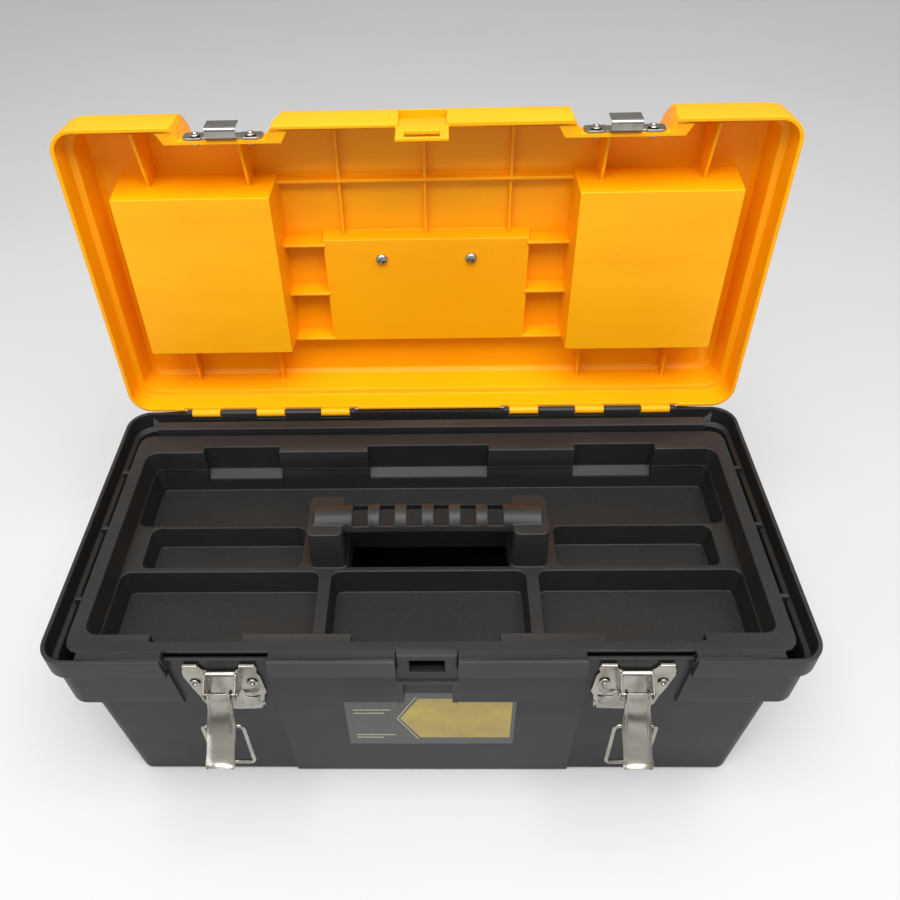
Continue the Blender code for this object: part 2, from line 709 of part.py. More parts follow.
def lid_hinge_barrel(bm, side):
    """The lid's half of a hinge before it is divided into ears."""
    x0, x1 = span(side, HINGE_START_X - 1.5, hinge_end_x() + 1.5)
    prism_x(bm, circle((HINGE_Y, HINGE_Z), HINGE_RADIUS), x0, x1)


def lid_ear_gaps(bm, side):
    """Room between the lid's ears for the tub's ears."""
    edges = [HINGE_START_X - 6.0]
    for start in lid_ear_starts():
        edges += [start, start + LID_EAR_WIDTH]
    edges.append(hinge_end_x() + 6.0)
    for low, high in zip(edges[::2], edges[1::2]):
        x0, x1 = span(side, low, high)
        box(bm, (x0, 99.0, HINGE_Z - HINGE_RADIUS - 1.0), (x1, 107.5, HINGE_Z + HINGE_RADIUS + 0.4))


def lid_cover_lugs(bm, side):
    """Two lugs beside each organiser box that hold the cover's hinge stubs."""
    for v_low in (75.4, 130.1):
        x0, x1 = span(side, COVER_HINGE_X - 3.0, COVER_HINGE_X + 3.0)
        y0, y1 = v_span(v_low, v_low + 2.5)
        box(bm, (x0, y0, lid_z(36.6)), (x1, y1, lid_z(COVER_HINGE_W + 2.6)))


def lid_cover_lug_holes(bm, side):
    y0, y1 = v_span(72.0, 136.0)
    prism_y(bm, circle((side * COVER_HINGE_X, lid_z(COVER_HINGE_W)), 1.5, 12), y0, y1)


def lid_small_holes(bm):
    """Holes for the handle screws and for the strike rivets."""
    for side in (1.0, -1.0):
        screw = circle((side * HANDLE_SCREW_X, lid_y(HANDLE_V)), 2.1, 12)
        prism_z(bm, screw, lid_z(20.0), lid_z(30.0))
        for x in (-STRIKE_RIVET_X, STRIKE_RIVET_X):
            rivet = circle((side * STRIKE_X + x, lid_z(STRIKE_RIVET_W)), 1.8, 12)
            prism_y(bm, rivet, lid_y(203.0), lid_y(192.0))


def build_lid(finish, holder):
    lid = make("lid_shell", lid_shell, finish, parent=holder, smooth=30)
    carve(lid, "lid_add_boxes", "UNION", both_sides(lid_box_shells))
    carve(lid, "lid_add_pad", "UNION", lid_pad_shell)
    carve(lid, "lid_add_cross_ribs", "UNION", lid_cross_ribs)
    carve(lid, "lid_add_long_rib", "UNION", lid_long_rib)
    carve(lid, "lid_add_front_ribs", "UNION", lid_front_ribs)
    carve(lid, "lid_add_gussets", "UNION", both_sides(lid_box_gussets))
    carve(lid, "lid_add_notch_backs", "UNION", both_sides(lid_notch_backs))
    carve(lid, "lid_add_tab", "UNION", lid_padlock_tab)
    carve(lid, "lid_add_barrel", "UNION", both_sides(lid_hinge_barrel))
    carve(lid, "lid_add_lugs", "UNION", both_sides(lid_cover_lugs))
    carve(lid, "lid_cut_boxes", "DIFFERENCE", both_sides(lid_box_cavities))
    carve(lid, "lid_cut_pad", "DIFFERENCE", lid_pad_cavity)
    carve(lid, "lid_cut_notches", "DIFFERENCE", both_sides(lid_latch_notches))
    carve(lid, "lid_cut_centre_notch", "DIFFERENCE", lid_padlock_notch)
    carve(lid, "lid_cut_tab_slot", "DIFFERENCE", lid_padlock_slot)
    carve(lid, "lid_cut_ear_gaps", "DIFFERENCE", both_sides(lid_ear_gaps))
    carve(lid, "lid_cut_pin", "DIFFERENCE",
          hinge_barrel(HINGE_START_X - 3.0, hinge_end_x() + 3.0, PIN_HOLE_RADIUS))
    carve(lid, "lid_cut_lug_holes", "DIFFERENCE", both_sides(lid_cover_lug_holes))
    carve(lid, "lid_cut_small_holes", "DIFFERENCE", lid_small_holes)


# ---------------------------------------------------------------- hardware

def build_hinge_pins(finish):
    for name, side in (("left", -1.0), ("right", 1.0)):
        x0, x1 = span(side, HINGE_START_X - 3.8, hinge_end_x() + 3.8)

        def pin(bm, x0=x0, x1=x1):
            prism_x(bm, circle((HINGE_Y, HINGE_Z), PIN_RADIUS, 12), x0, x1)

        make(f"hinge_pin_{name}", pin, finish, smooth=40)


def rivet_rings(profile, centre, sides=12):
    """Rings of a turned piece on an axis along Y, from (radius, y) pairs."""
    rings = []
    for radius, y in profile:
        rings.append([(x, y, z) for x, z in circle(centre, radius, sides)])
    return rings


def build_latch_rivets(finish):
    """Rivets that hold the latch plates on the tub."""
    head_y = POCKET_FACE_Y - GAP - LATCH_STEEL - GAP
    profile = [(2.0, head_y - 1.0), (3.1, head_y - 0.4), (3.1, head_y), (1.6, head_y),
               (1.6, POCKET_FACE_Y + WALL + GAP), (2.9, POCKET_FACE_Y + WALL + GAP),
               (2.9, POCKET_FACE_Y + WALL + 1.0)]
    for name, side in (("left", -1.0), ("right", 1.0)):
        for index, (x, z) in enumerate(LATCH_RIVETS):
            def rivet(bm, centre=(side * (LATCH_X - x), z)):
                loft(bm, rivet_rings(profile, centre))

            make(f"latch_rivet_{name}_{index + 1}", rivet, finish, smooth=40)


def latch_plate_outline(side):
    """The base plate in (x, z): tabs above, a slanted outer wing and a broad inner wing."""
    points = [(-19.9, 152.2), (-11.2, 152.2), (-9.8, 147.5), (-7.6, 145.3), (7.6, 145.3),
              (9.8, 147.5), (11.2, 152.2), (20.7, 152.2), (21.5, 144.0), (22.8, 123.0),
              (20.0, 112.0), (17.2, 103.8), (3.0, 103.8), (-6.0, 105.0), (-14.8, 107.0),
              (-17.0, 113.0), (-21.5, 138.0), (-22.3, 144.0)]
    return [(side * (LATCH_X - x), z) for x, z in points]


def build_latch_plates(finish):
    back_y = POCKET_FACE_Y - GAP
    front_y = back_y - LATCH_STEEL
    pivot_y, pivot_z = LEVER_PIVOT
    for name, side in (("left", -1.0), ("right", 1.0)):
        centre_x = side * LATCH_X

        def plate(bm, side=side):
            prism_y(bm, latch_plate_outline(side), front_y, back_y)

        def ears(bm, centre_x=centre_x):
            outline = [(back_y - 0.5, 129.0), (back_y - 0.5, 142.6), (pivot_y + 1.0, 140.4),
                       (pivot_y - 2.6, 137.6), (pivot_y - 2.6, 133.4), (pivot_y + 1.0, 131.0)]
            prism_x(bm, outline, centre_x - 9.3, centre_x - 8.1)
            prism_x(bm, outline, centre_x + 8.1, centre_x + 9.3)

        def holes(bm, side=side, centre_x=centre_x):
            for x, z in LATCH_RIVETS:
                prism_y(bm, circle((side * (LATCH_X - x), z), 1.9, 12), front_y - 1.0, back_y + 1.0)
            prism_x(bm, circle((pivot_y, pivot_z), 1.5, 12), centre_x - 11.0, centre_x + 11.0)

        base = make(f"latch_plate_{name}", plate, finish, smooth=30)
        carve(base, f"latch_ears_{name}", "UNION", ears)
        carve(base, f"latch_holes_{name}", "DIFFERENCE", holes)


def build_lever_pins(finish):
    pivot = LEVER_PIVOT
    for name, side in (("left", -1.0), ("right", 1.0)):
        def pin(bm, centre_x=side * LATCH_X):
            stations = ((-10.3, 1.6), (-9.6, 2.0), (-9.6, 1.2), (9.6, 1.2), (9.6, 2.0), (10.3, 1.6))
            rings = []
            for x, radius in stations:
                rings.append([(centre_x + x, y, z) for y, z in circle(pivot, radius, 12)])
            loft(bm, rings)

        make(f"lever_pin_{name}", pin, finish, smooth=40)


def lever_sections():
    """The lever's strip as (y, z, half width, outward normal) stations from pivot to tip."""
    path = [(-112.2, 140.2, 6.6), (-113.9, 135.2, 7.0), (-116.4, 129.2, 7.5), (-119.8, 123.8, 8.2),
            (-124.4, 119.2, 8.2), (-130.0, 114.6, 8.1), (-134.2, 111.2, 8.1), (-136.8, 109.5, 8.3),
            (-138.8, 109.1, 6.6)]
    stations = []
    for index, (y, z, half) in enumerate(path):
        before = path[max(index - 1, 0)]
        after = path[min(index + 1, len(path) - 1)]
        direction = Vector((after[0] - before[0], after[1] - before[1])).normalized()
        normal = (direction[1], -direction[0])
        stations.append((y, z, half, normal))
    return stations


def build_levers(finish):
    pivot_y, pivot_z = LEVER_PIVOT
    bail_y, bail_z = BAIL_PIVOT
    for name, side in (("left", -1.0), ("right", 1.0)):
        centre_x = side * LATCH_X

        def strip(bm, centre_x=centre_x):
            rings = []
            for y, z, half, normal in lever_sections():
                back_y, back_z = y - normal[0] * LATCH_STEEL, z - normal[1] * LATCH_STEEL
                rings.append([(centre_x - half, y, z), (centre_x + half, y, z),
                              (centre_x + half, back_y, back_z), (centre_x - half, back_y, back_z)])
            loft(bm, rings)

        def flanges(bm, centre_x=centre_x):
            """Side walls that carry the lever pin and the bail."""
            outline = [(pivot_y + 2.8, pivot_z + 2.4), (-111.9, 139.9), (-113.6, 135.1),
                       (-116.1, 129.1), (-119.5, 123.6), (-123.9, 119.2), (bail_y - 1.6, bail_z - 2.7),
                       (bail_y + 2.4, bail_z - 1.6), (pivot_y + 2.8, pivot_z - 2.4)]
            for x in (-6.4, 5.4):
                prism_x(bm, outline, centre_x + x, centre_x + x + 1.0)

        def holes(bm, centre_x=centre_x):
            prism_x(bm, circle(LEVER_PIVOT, 1.5, 12), centre_x - 9.0, centre_x + 9.0)
            prism_x(bm, circle(BAIL_PIVOT, 1.5, 12), centre_x - 9.0, centre_x + 9.0)

        origin = (centre_x, pivot_y, pivot_z)
        lever = make(f"latch_lever_{name}", strip, finish, origin=origin, smooth=40)
        carve(lever, f"lever_flanges_{name}", "UNION", flanges)
        carve(lever, f"lever_holes_{name}", "DIFFERENCE", holes)


def wire_path(centre_x):
    """The bail's centre line: in at one side of the lever, round the loop and in at the other."""
    pivot_y, pivot_z = BAIL_PIVOT
    radius = 3.0
    reach = BAIL_HALF_X - radius
    low_z = radius - BAIL_LENGTH
    corners = [(-reach, -radius, 90.0), (-reach, low_z, 180.0), (reach, low_z, 270.0), (reach, -radius, 0.0)]
    points = [(-5.0, 0.0)]
    for x, z, start in corners:
        for step in range(4):
            angle = math.radians(start + 90.0 * step / 3)
            points.append((x + radius * math.cos(angle), z + radius * math.sin(angle)))
    points.append((5.0, 0.0))
    return [Vector((centre_x + x, pivot_y, pivot_z + z)) for x, z in points]


def sweep(bm, points, radius, sides=8):
    """A round wire through points, with mitred joints and flat ends."""
    rings = []
    for index, point in enumerate(points):
        before = points[max(index - 1, 0)]
        after = points[min(index + 1, len(points) - 1)]
        direction = (after - before).normalized()
        across = Vector((0.0, 1.0, 0.0))
        upward = direction.cross(across).normalized()
        ring = []
        for side in range(sides):
            angle = 2 * math.pi * (side + 0.5) / sides
            ring.append(point + across * radius * math.cos(angle) + upward * radius * math.sin(angle))
        rings.append(ring)
    loft(bm, rings)


def build_bails(finish):
    for name, side in (("left", -1.0), ("right", 1.0)):
        centre_x = side * LATCH_X

        def loop(bm, centre_x=centre_x):
            sweep(bm, wire_path(centre_x), WIRE_RADIUS)

        make(f"latch_bail_{name}", loop, finish, origin=(centre_x, *BAIL_PIVOT), smooth=60)


def strike_hook_outline():
    """The strike's hook in (y, z): down from the plate, round and up in front of it."""
    inner_v = STRIKE_V + GAP
    steel = LATCH_STEEL
    outer_v = 207.5
    return [
        (lid_y(inner_v + 0.2), lid_z(6.0)), (lid_y(inner_v + 0.2), lid_z(0.2)),
        (lid_y(inner_v + 1.6), lid_z(-1.4)), (lid_y(outer_v - 1.2), lid_z(-1.4)),
        (lid_y(outer_v), lid_z(0.0)), (lid_y(outer_v), lid_z(10.5)),
        (lid_y(outer_v - steel), lid_z(10.5)), (lid_y(outer_v - steel), lid_z(0.6)),
        (lid_y(outer_v - steel - 0.8), lid_z(-0.2)), (lid_y(inner_v + steel + 0.8), lid_z(-0.2)),
        (lid_y(inner_v + steel - 0.2), lid_z(0.6)), (lid_y(inner_v + steel - 0.2), lid_z(6.0)),
    ]


def build_strikes(finish, holder):
    y0, y1 = lid_y(STRIKE_V + GAP + LATCH_STEEL), lid_y(STRIKE_V + GAP)
    for name, side in (("left", -1.0), ("right", 1.0)):
        centre_x = side * STRIKE_X

        def plate(bm, centre_x=centre_x):
            prism_y(bm, [(centre_x - 23.2, lid_z(0.9)), (centre_x + 23.2, lid_z(0.9)),
                         (centre_x + 23.2, lid_z(8.4)), (centre_x + 21.5, lid_z(9.9)),
                         (centre_x - 21.5, lid_z(9.9)), (centre_x - 23.2, lid_z(8.4))], y0, y1)

        def hook(bm, centre_x=centre_x):
            prism_x(bm, strike_hook_outline(), centre_x - 9.0, centre_x + 9.0)

        def holes(bm, centre_x=centre_x):
            for x in (-STRIKE_RIVET_X, STRIKE_RIVET_X):
                prism_y(bm, circle((centre_x + x, lid_z(STRIKE_RIVET_W)), 1.8, 12), y0 - 1.0, y1 + 1.0)

        strike = make(f"strike_plate_{name}", plate, finish, parent=holder, smooth=30)
        carve(strike, f"strike_hook_{name}", "UNION", hook)
        carve(strike, f"strike_holes_{name}", "DIFFERENCE", holes)


def build_strike_rivets(finish, holder):
    head_y = lid_y(STRIKE_V + GAP + LATCH_STEEL + GAP)
    inner_y = lid_y(STRIKE_V - WALL - GAP)
    profile = [(2.2, head_y - 0.9), (3.2, head_y - 0.3), (3.2, head_y), (1.5, head_y),
               (1.5, inner_y), (2.9, inner_y), (2.9, inner_y + 0.7)]
    for name, side in (("left", -1.0), ("right", 1.0)):
        for index, x in enumerate((-STRIKE_RIVET_X, STRIKE_RIVET_X)):
            def rivet(bm, centre=(side * STRIKE_X + x, lid_z(STRIKE_RIVET_W))):
                loft(bm, rivet_rings(profile, centre))

            make(f"strike_rivet_{name}_{index + 1}", rivet, finish, parent=holder, smooth=40)


def build_organiser_covers(finish, holder):
    """Flat covers with a locating lip, hinged at their outer edges on moulded stubs."""
    hinge_z = lid_z(COVER_HINGE_W)
    for name, side in (("left", -1.0), ("right", 1.0)):
        hinge_x = side * COVER_HINGE_X

        def plate(bm, side=side):
            x_span = span(side, BOX_X[0] - 3.4, BOX_X[1] + 0.9)
            y_span = v_span(BOX_V[0] - 4.0, BOX_V[1] + 5.0)
            z0 = lid_z(LID_DEPTH + GAP)
            loft(bm, [rect_ring(x_span, y_span, 4.0, z0), rect_ring(x_span, y_span, 4.0, z0 + COVER_THICK)])

        def lip(bm, side=side):
            x_span = span(side, BOX_X[0] + 1.4, BOX_X[1] - 3.4)
            y_span = v_span(BOX_V[0] + 1.6, BOX_V[1] - 1.6)
            z0 = lid_z(LID_DEPTH - 2.0)
            loft(bm, [rect_ring(x_span, y_span, 3.0, z0), rect_ring(x_span, y_span, 3.0, z0 + 3.4)])

        def lip_hollow(bm, side=side):
            x0, x1 = span(side, BOX_X[0] + 3.2, BOX_X[1] - 5.2)
            y0, y1 = v_span(BOX_V[0] + 3.4, BOX_V[1] - 3.4)
            box(bm, (x0, y0, lid_z(LID_DEPTH - 4.0)), (x1, y1, lid_z(LID_DEPTH + GAP)))

        def barrel(bm, hinge_x=hinge_x, hinge_z=hinge_z):
            stations = ((132.3, 1.2), (129.7, 1.2), (129.7, 2.1), (78.3, 2.1), (78.3, 1.2), (75.7, 1.2))
            rings = []
            for v, radius in stations:
                rings.append([(x, lid_y(v), z) for x, z in circle((hinge_x, hinge_z), radius, 12)])
            loft(bm, rings)

        def neck(bm, side=side):
            x0, x1 = span(side, BOX_X[1] + 0.2, COVER_HINGE_X - 0.6)
            y0, y1 = v_span(79.0, 129.0)
            box(bm, (x0, y0, lid_z(39.3)), (x1, y1, lid_z(40.9)))

        def thumb_tab(bm, side=side):
            x0, x1 = span(side, BOX_X[0] - 8.6, BOX_X[0] - 2.0)
            y0, y1 = v_span(93.0, 117.0)
            box(bm, (x0, y0, lid_z(38.7)), (x1, y1, lid_z(40.1)))

        origin = (hinge_x, 0.0, hinge_z)
        cover = make(f"organiser_cover_{name}", plate, finish, origin=origin, parent=holder, smooth=30)
        carve(cover, f"cover_lip_{name}", "UNION", lip)
        carve(cover, f"cover_hollow_{name}", "DIFFERENCE", lip_hollow)
        carve(cover, f"cover_barrel_{name}", "UNION", barrel)
        carve(cover, f"cover_neck_{name}", "UNION", neck)
        carve(cover, f"cover_tab_{name}", "UNION", thumb_tab)


def build_handle(plastic, steel, holder):
    """The folding carry handle, its bracket, its rod and the two screws that hold them."""
    pivot = (lid_y(HANDLE_V), lid_z(HANDLE_W))
    plate_z0 = lid_z(PAD_FACE_W + 2.0 + GAP)
    plate_z1 = plate_z0 + 2.6

    def bracket_plate(bm):
        y0, y1 = v_span(HANDLE_V - 6.0, HANDLE_V + 6.0)
        box(bm, (-46.6, y0, plate_z0), (46.6, y1, plate_z1))

    def bracket_ears(bm, side):
        outline = [(pivot[0] - 5.6, plate_z1 - 0.8), (pivot[0] - 3.4, pivot[1] + 2.6),
                   (pivot[0] - 1.6, pivot[1] + 3.8), (pivot[0] + 1.6, pivot[1] + 3.8),
                   (pivot[0] + 3.4, pivot[1] + 2.6), (pivot[0] + 5.6, plate_z1 - 0.8)]
        prism_x(bm, outline, *span(side, 42.6, 46.4))

    def bracket_holes(bm):
        prism_x(bm, circle(pivot, 2.1, 12), -50.0, 50.0)
        for side in (1.0, -1.0):
            screw = circle((side * HANDLE_SCREW_X, pivot[0]), 2.1, 12)
            prism_z(bm, screw, plate_z0 - 1.0, plate_z1 + 1.0)

    bracket = make("handle_bracket", bracket_plate, plastic, parent=holder, smooth=30)
    carve(bracket, "bracket_ears", "UNION", both_sides(bracket_ears))
    carve(bracket, "bracket_holes", "DIFFERENCE", bracket_holes)

    def rod(bm):
        prism_x(bm, circle(pivot, 1.8, 12), -59.4, 59.4)

    make("handle_rod", rod, steel, parent=holder, smooth=40)

    def grip(bm):
        rings = []
        for x, scale in ((-61.5, 0.72), (-59.5, 0.9), (-54.0, 1.0), (54.0, 1.0), (59.5, 0.9), (61.5, 0.72)):
            centre = (lid_y(HANDLE_GRIP_V), lid_z(33.6))
            ring = []
            for y, z in circle((0.0, 0.0), 1.0, 16):
                ring.append((x, centre[0] + 8.0 * scale * y, centre[1] + 6.6 * scale * z))
            rings.append(ring)
        loft(bm, rings)

    def arms(bm, side):
        x0, x1 = span(side, *HANDLE_ARM_X)
        low_z, high_z = lid_z(28.0), lid_z(37.4)
        outline = [(lid_y(HANDLE_V + 3.2), low_z + 1.6), (lid_y(HANDLE_V + 3.2), high_z - 1.6),
                   (lid_y(HANDLE_V + 1.2), high_z), (lid_y(HANDLE_GRIP_V), high_z),
                   (lid_y(HANDLE_GRIP_V), low_z), (lid_y(HANDLE_V + 1.2), low_z)]
        prism_x(bm, outline, x0, x1)

    def arm_holes(bm):
        prism_x(bm, circle(pivot, 2.1, 12), -63.0, 63.0)

    origin = (0.0, *pivot)
    handle = make("carry_handle", grip, plastic, origin=origin, parent=holder, smooth=40)
    carve(handle, "handle_arms", "UNION", both_sides(arms))
    carve(handle, "handle_holes", "DIFFERENCE", arm_holes)

    for name, side in (("left", -1.0), ("right", 1.0)):
        def screw(bm, centre=(side * HANDLE_SCREW_X, pivot[0])):
            under_head = lid_z(PAD_FACE_W - GAP)
            stations = ((2.6, under_head - 2.2), (3.9, under_head - 1.1), (3.9, under_head),
                        (1.7, under_head), (1.7, plate_z1 - 0.4))
            loft(bm, [[(x, y, z) for x, y in circle(centre, radius, 12)] for radius, z in stations])

        make(f"handle_screw_{name}", screw, steel, parent=holder, smooth=40)


def build_label(finish):
    """A thin printed sticker on the raised middle of the front."""
    def sticker(bm):
        def face_y(z):
            share = (z - 1.2) / (FLANGE_LOW_Z - 0.2)
            return BODY_FOOT_Y[0] - PANEL_PROUD + share * (BODY_TOP_Y[0] - BODY_FOOT_Y[0])

        rings = []
        for offset in (GAP + 0.05, GAP + 0.4):
            rings.append([(x, face_y(z) - offset, z) for x, z in
                          ((-52.0, 40.0), (53.0, 40.0), (53.0, 105.5), (-52.0, 105.5))])
        loft(bm, rings)

    make("front_label", sticker, finish)


def lid_holder():
    """An empty on the hinge axis that turns the closed lid open."""
    turned = bpy.data.objects.new("lid_frame", None)
    bpy.context.scene.collection.objects.link(turned)
    axis = Vector((0.0, HINGE_Y, HINGE_Z)) * MM
    turn = Matrix.Rotation(math.radians(-LID_OPEN_ANGLE), 4, "X")
    turned.matrix_world = Matrix.Translation(axis) @ turn @ Matrix.Translation(-axis)
    return turned


def main():
    clear_scene()
    black = material("black_polypropylene", (0.018, 0.019, 0.020), 0.45)
    yellow = material("yellow_polypropylene", (0.95, 0.42, 0.01), 0.40)
    smoke = material("cover_polypropylene", (0.03, 0.03, 0.03), 0.35)
    chrome = material("nickel_plated_steel", (0.72, 0.72, 0.70), 0.18, 1.0)
    steel = material("zinc_plated_steel", (0.60, 0.60, 0.62), 0.35, 1.0)
    paper = material("printed_label", (0.60, 0.52, 0.03), 0.5)
    holder = lid_holder()
    build_tub(black)
    build_tray(black)
    build_lid(yellow, holder)
    build_hinge_pins(steel)
    build_latch_plates(chrome)
    build_latch_rivets(chrome)
    build_lever_pins(steel)
    build_levers(chrome)
    build_bails(chrome)
    build_strikes(chrome, holder)
    build_strike_rivets(chrome, holder)
    build_organiser_covers(smoke, holder)
    build_handle(black, steel, holder)
    build_label(paper)


main()
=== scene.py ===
"""The finished look of the toolbox: moulded tub, tray and lid, pressed latches and a studio."""
import math

import bmesh
import bpy
from mathutils import Matrix, Vector


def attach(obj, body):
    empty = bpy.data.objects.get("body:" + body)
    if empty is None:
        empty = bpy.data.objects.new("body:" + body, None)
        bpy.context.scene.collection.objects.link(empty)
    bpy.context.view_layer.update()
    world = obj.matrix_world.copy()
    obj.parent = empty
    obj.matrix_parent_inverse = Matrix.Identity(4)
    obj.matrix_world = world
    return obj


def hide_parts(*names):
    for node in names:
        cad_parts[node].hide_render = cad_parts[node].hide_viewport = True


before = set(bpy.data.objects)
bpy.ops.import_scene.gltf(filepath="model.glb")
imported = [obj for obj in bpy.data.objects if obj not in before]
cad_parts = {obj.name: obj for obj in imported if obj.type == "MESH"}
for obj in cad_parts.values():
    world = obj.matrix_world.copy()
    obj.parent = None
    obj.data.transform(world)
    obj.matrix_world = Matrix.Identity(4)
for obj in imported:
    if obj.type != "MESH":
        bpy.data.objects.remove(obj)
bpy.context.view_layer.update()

MM = 0.001

# Driving dimensions, in millimetres
RIM_HALF_X = 215.8
RIM_FRONT_Y = -104.4
RIM_BACK_Y = 103.0
RIM_CORNER = 15.3
TUB_HEIGHT = 160.0
WALL = 2.6
GAP = 0.3

# Tub
BODY_TOP_HALF_X = 207.2
BODY_FOOT_HALF_X = 199.8
BODY_TOP_Y = (-88.8, 89.0)
BODY_FOOT_Y = (-86.8, 85.5)
BODY_TOP_Z = 108.5
FLANGE_HALF_X = 211.3
FLANGE_Y = (-100.7, 99.6)
FLANGE_LOW_Z = 110.0
BAND_LOW_Z = 145.0
FLOOR_THICK = 3.0
RAIL_TOP_Z = 159.6
RAIL_BACK_Y = -95.4
RAIL_ENDS_X = 194.0
PANEL_PROUD = 1.2
PANEL_HALF_X = 94.0
POCKET_INNER_X = 87.3
POCKET_OUTER_X = 146.2
POCKET_FACE_Y = -98.5
POCKET_TOP_Z = 154.0
LUG_HALF_X = 17.2
LUG_FACE_Y = -99.9
LUG_SLOT_HALF_X = 9.8
LUG_SLOT_Z = (143.0, 155.0)
NOTCH_HALF_X = 14.0
NOTCH_FACE_Y = -93.2
NOTCH_TOP_Z = 131.0
BAR_FRONT_Y = 84.5
BAR_BACK_Y = 92.5
RIB_TOP_Z = 152.2
RIB_THICK = 2.5

# Tray
TRAY_TOP_Z = 155.0
TRAY_RIM_THICK = 2.5
TRAY_HALF_X = 204.6
TRAY_FRONT_Y = -94.0
TRAY_BACK_Y = 83.0
WELL_HALF_X = 196.0
WELL_FRONT_Y = -82.0
WELL_BACK_Y = 65.3
RIDGE_TOP_Z = 138.5
RIDGE_FRONT_Y = -25.7
RIDGE_BACK_Y = 13.0
TRAY_FLOOR_Z = 119.0
TRAY_UNDER_Z = 117.0
TRAY_WALL = 2.0
DIVIDER_X = (60.5, 68.3)
SHALLOW_X = (80.8, 182.5)
SHALLOW_Y = (-22.0, 10.5)
SHALLOW_FLOOR_Z = 121.0
SCALLOP_SPANS = ((-157.0, -104.5), (-42.5, 41.0), (100.5, 155.0))
SCALLOP_DEPTH = 5.4
GRIP_Y = -5.5
GRIP_Z = 162.6
GRIP_RADIUS = 10.0
GRIP_WALL = 2.4
GRIP_HALF_X = 70.0
GRIP_ARCH = 1.5
GRIP_SLOT_PITCH = 16.6
GRIP_SLOT_WIDTH = 9.0
POST_X = (51.6, 74.5)
POST_Y = (-22.5, 11.5)
POST_TOP_Z = 168.5
HAND_HOLE_HALF_X = 51.2

# Lid, drawn closed: v is the distance forward from the back face, w the height above the tub
LID_DEPTH = 38.0
LID_WALL_V = 201.0
LID_OPEN_ANGLE = 92.0
HINGE_Y = 103.0
HINGE_Z = 158.5
HINGE_RADIUS = 3.0
PIN_RADIUS = 1.2
PIN_HOLE_RADIUS = 1.5
HINGE_START_X = 57.5
LID_EAR_WIDTH = 20.4
LID_EAR_PITCH = 46.8
LID_EARS = 3
TUB_EAR_RADIUS = 2.4
BOX_X = (93.8, 191.5)
BOX_V = (48.0, 162.0)
BOX_FACE_W = 5.0
PAD_HALF_X = 67.0
PAD_V = (45.0, 123.0)
PAD_FACE_W = 24.0
STRIKE_X = 114.8
STRIKE_RIVET_X = 16.1
STRIKE_RIVET_W = 5.2
STRIKE_V = 199.5
PAD_LOCK_V = 205.6

# Latches
LATCH_X = 115.8
LEVER_PIVOT = (-109.0, 135.5)
BAIL_PIVOT = (-118.6, 118.9)
BAIL_LENGTH = 43.0
BAIL_HALF_X = 11.6
WIRE_RADIUS = 1.15
LATCH_STEEL = 1.2
LATCH_RIVETS = ((-16.4, 133.4), (16.4, 133.9))

# Organiser covers and carry handle
COVER_HINGE_X = 197.0
COVER_HINGE_W = 41.0
COVER_THICK = 2.2
HANDLE_V = 109.0
HANDLE_W = 32.5
HANDLE_SCREW_X = 29.4
HANDLE_ARM_X = (48.0, 57.0)
HANDLE_GRIP_V = 57.0

CORNER_STEPS = 10

# Camera, in metres and degrees
CAMERA_LENS = 33.706
CAMERA_SHIFT = (0.03034, -0.01822)
CAMERA_YAW_PITCH_ROLL = (-2.092, 42.97, -1.973)
CAMERA_PLACE = (0.0113, -0.3523, 0.5605)


# ---------------------------------------------------------------- mesh helpers

def rounded_ring(half_x, half_y, radius, z, centre=(0.0, 0.0), steps=CORNER_STEPS):
    """Points of a rounded rectangle at height z, anticlockwise."""
    points = []
    for corner in range(4):
        sign_x = 1 if corner in (0, 3) else -1
        sign_y = 1 if corner in (0, 1) else -1
        for step in range(steps + 1):
            angle = math.radians(90.0 * corner + 90.0 * step / steps)
            x = centre[0] + sign_x * (half_x - radius) + radius * math.cos(angle)
            y = centre[1] + sign_y * (half_y - radius) + radius * math.sin(angle)
            points.append((x, y, z))
    return points


def rect_ring(x_span, y_span, radius, z, steps=3):
    """A rounded rectangle given by its spans."""
    half_x = (x_span[1] - x_span[0]) / 2
    half_y = (y_span[1] - y_span[0]) / 2
    centre = ((x_span[0] + x_span[1]) / 2, (y_span[0] + y_span[1]) / 2)
    return rounded_ring(half_x, half_y, radius, z, centre, steps)


def inset_ring(z, half_x, y_span, inset, radius):
    """A rounded rectangle centred in X, drawn in from its spans by an inset."""
    x_reach = half_x - inset
    y_reach = (y_span[0] + inset, y_span[1] - inset)
    return rect_ring((-x_reach, x_reach), y_reach, radius, z, CORNER_STEPS)


def loft(bm, rings):
    """A closed solid through rings of equal point count, capped at both ends."""
    rows = [[bm.verts.new(Vector(point) * MM) for point in ring] for ring in rings]
    count = len(rows[0])
    for lower, upper in zip(rows, rows[1:]):
        for index in range(count):
            following = (index + 1) % count
            bm.faces.new((lower[index], lower[following], upper[following], upper[index]))
    bm.faces.new(list(reversed(rows[0])))
    bm.faces.new(rows[-1])


def box(bm, low, high):
    x_span, y_span = (low[0], high[0]), (low[1], high[1])
    frustum(bm, (x_span, y_span, low[2]), (x_span, y_span, high[2]))


def frustum(bm, lower, upper):
    """A block between two rectangles, each given as (x span, y span, z)."""
    rings = []
    for (x0, x1), (y0, y1), z in (lower, upper):
        rings.append([(x0, y0, z), (x1, y0, z), (x1, y1, z), (x0, y1, z)])
    loft(bm, rings)


def prism_x(bm, outline, x0, x1):
    """Extrudes an outline of (y, z) points along X."""
    loft(bm, [[(x, y, z) for y, z in outline] for x in (x0, x1)])


def prism_y(bm, outline, y0, y1):
    """Extrudes an outline of (x, z) points along Y."""
    loft(bm, [[(x, y, z) for x, z in outline] for y in (y0, y1)])


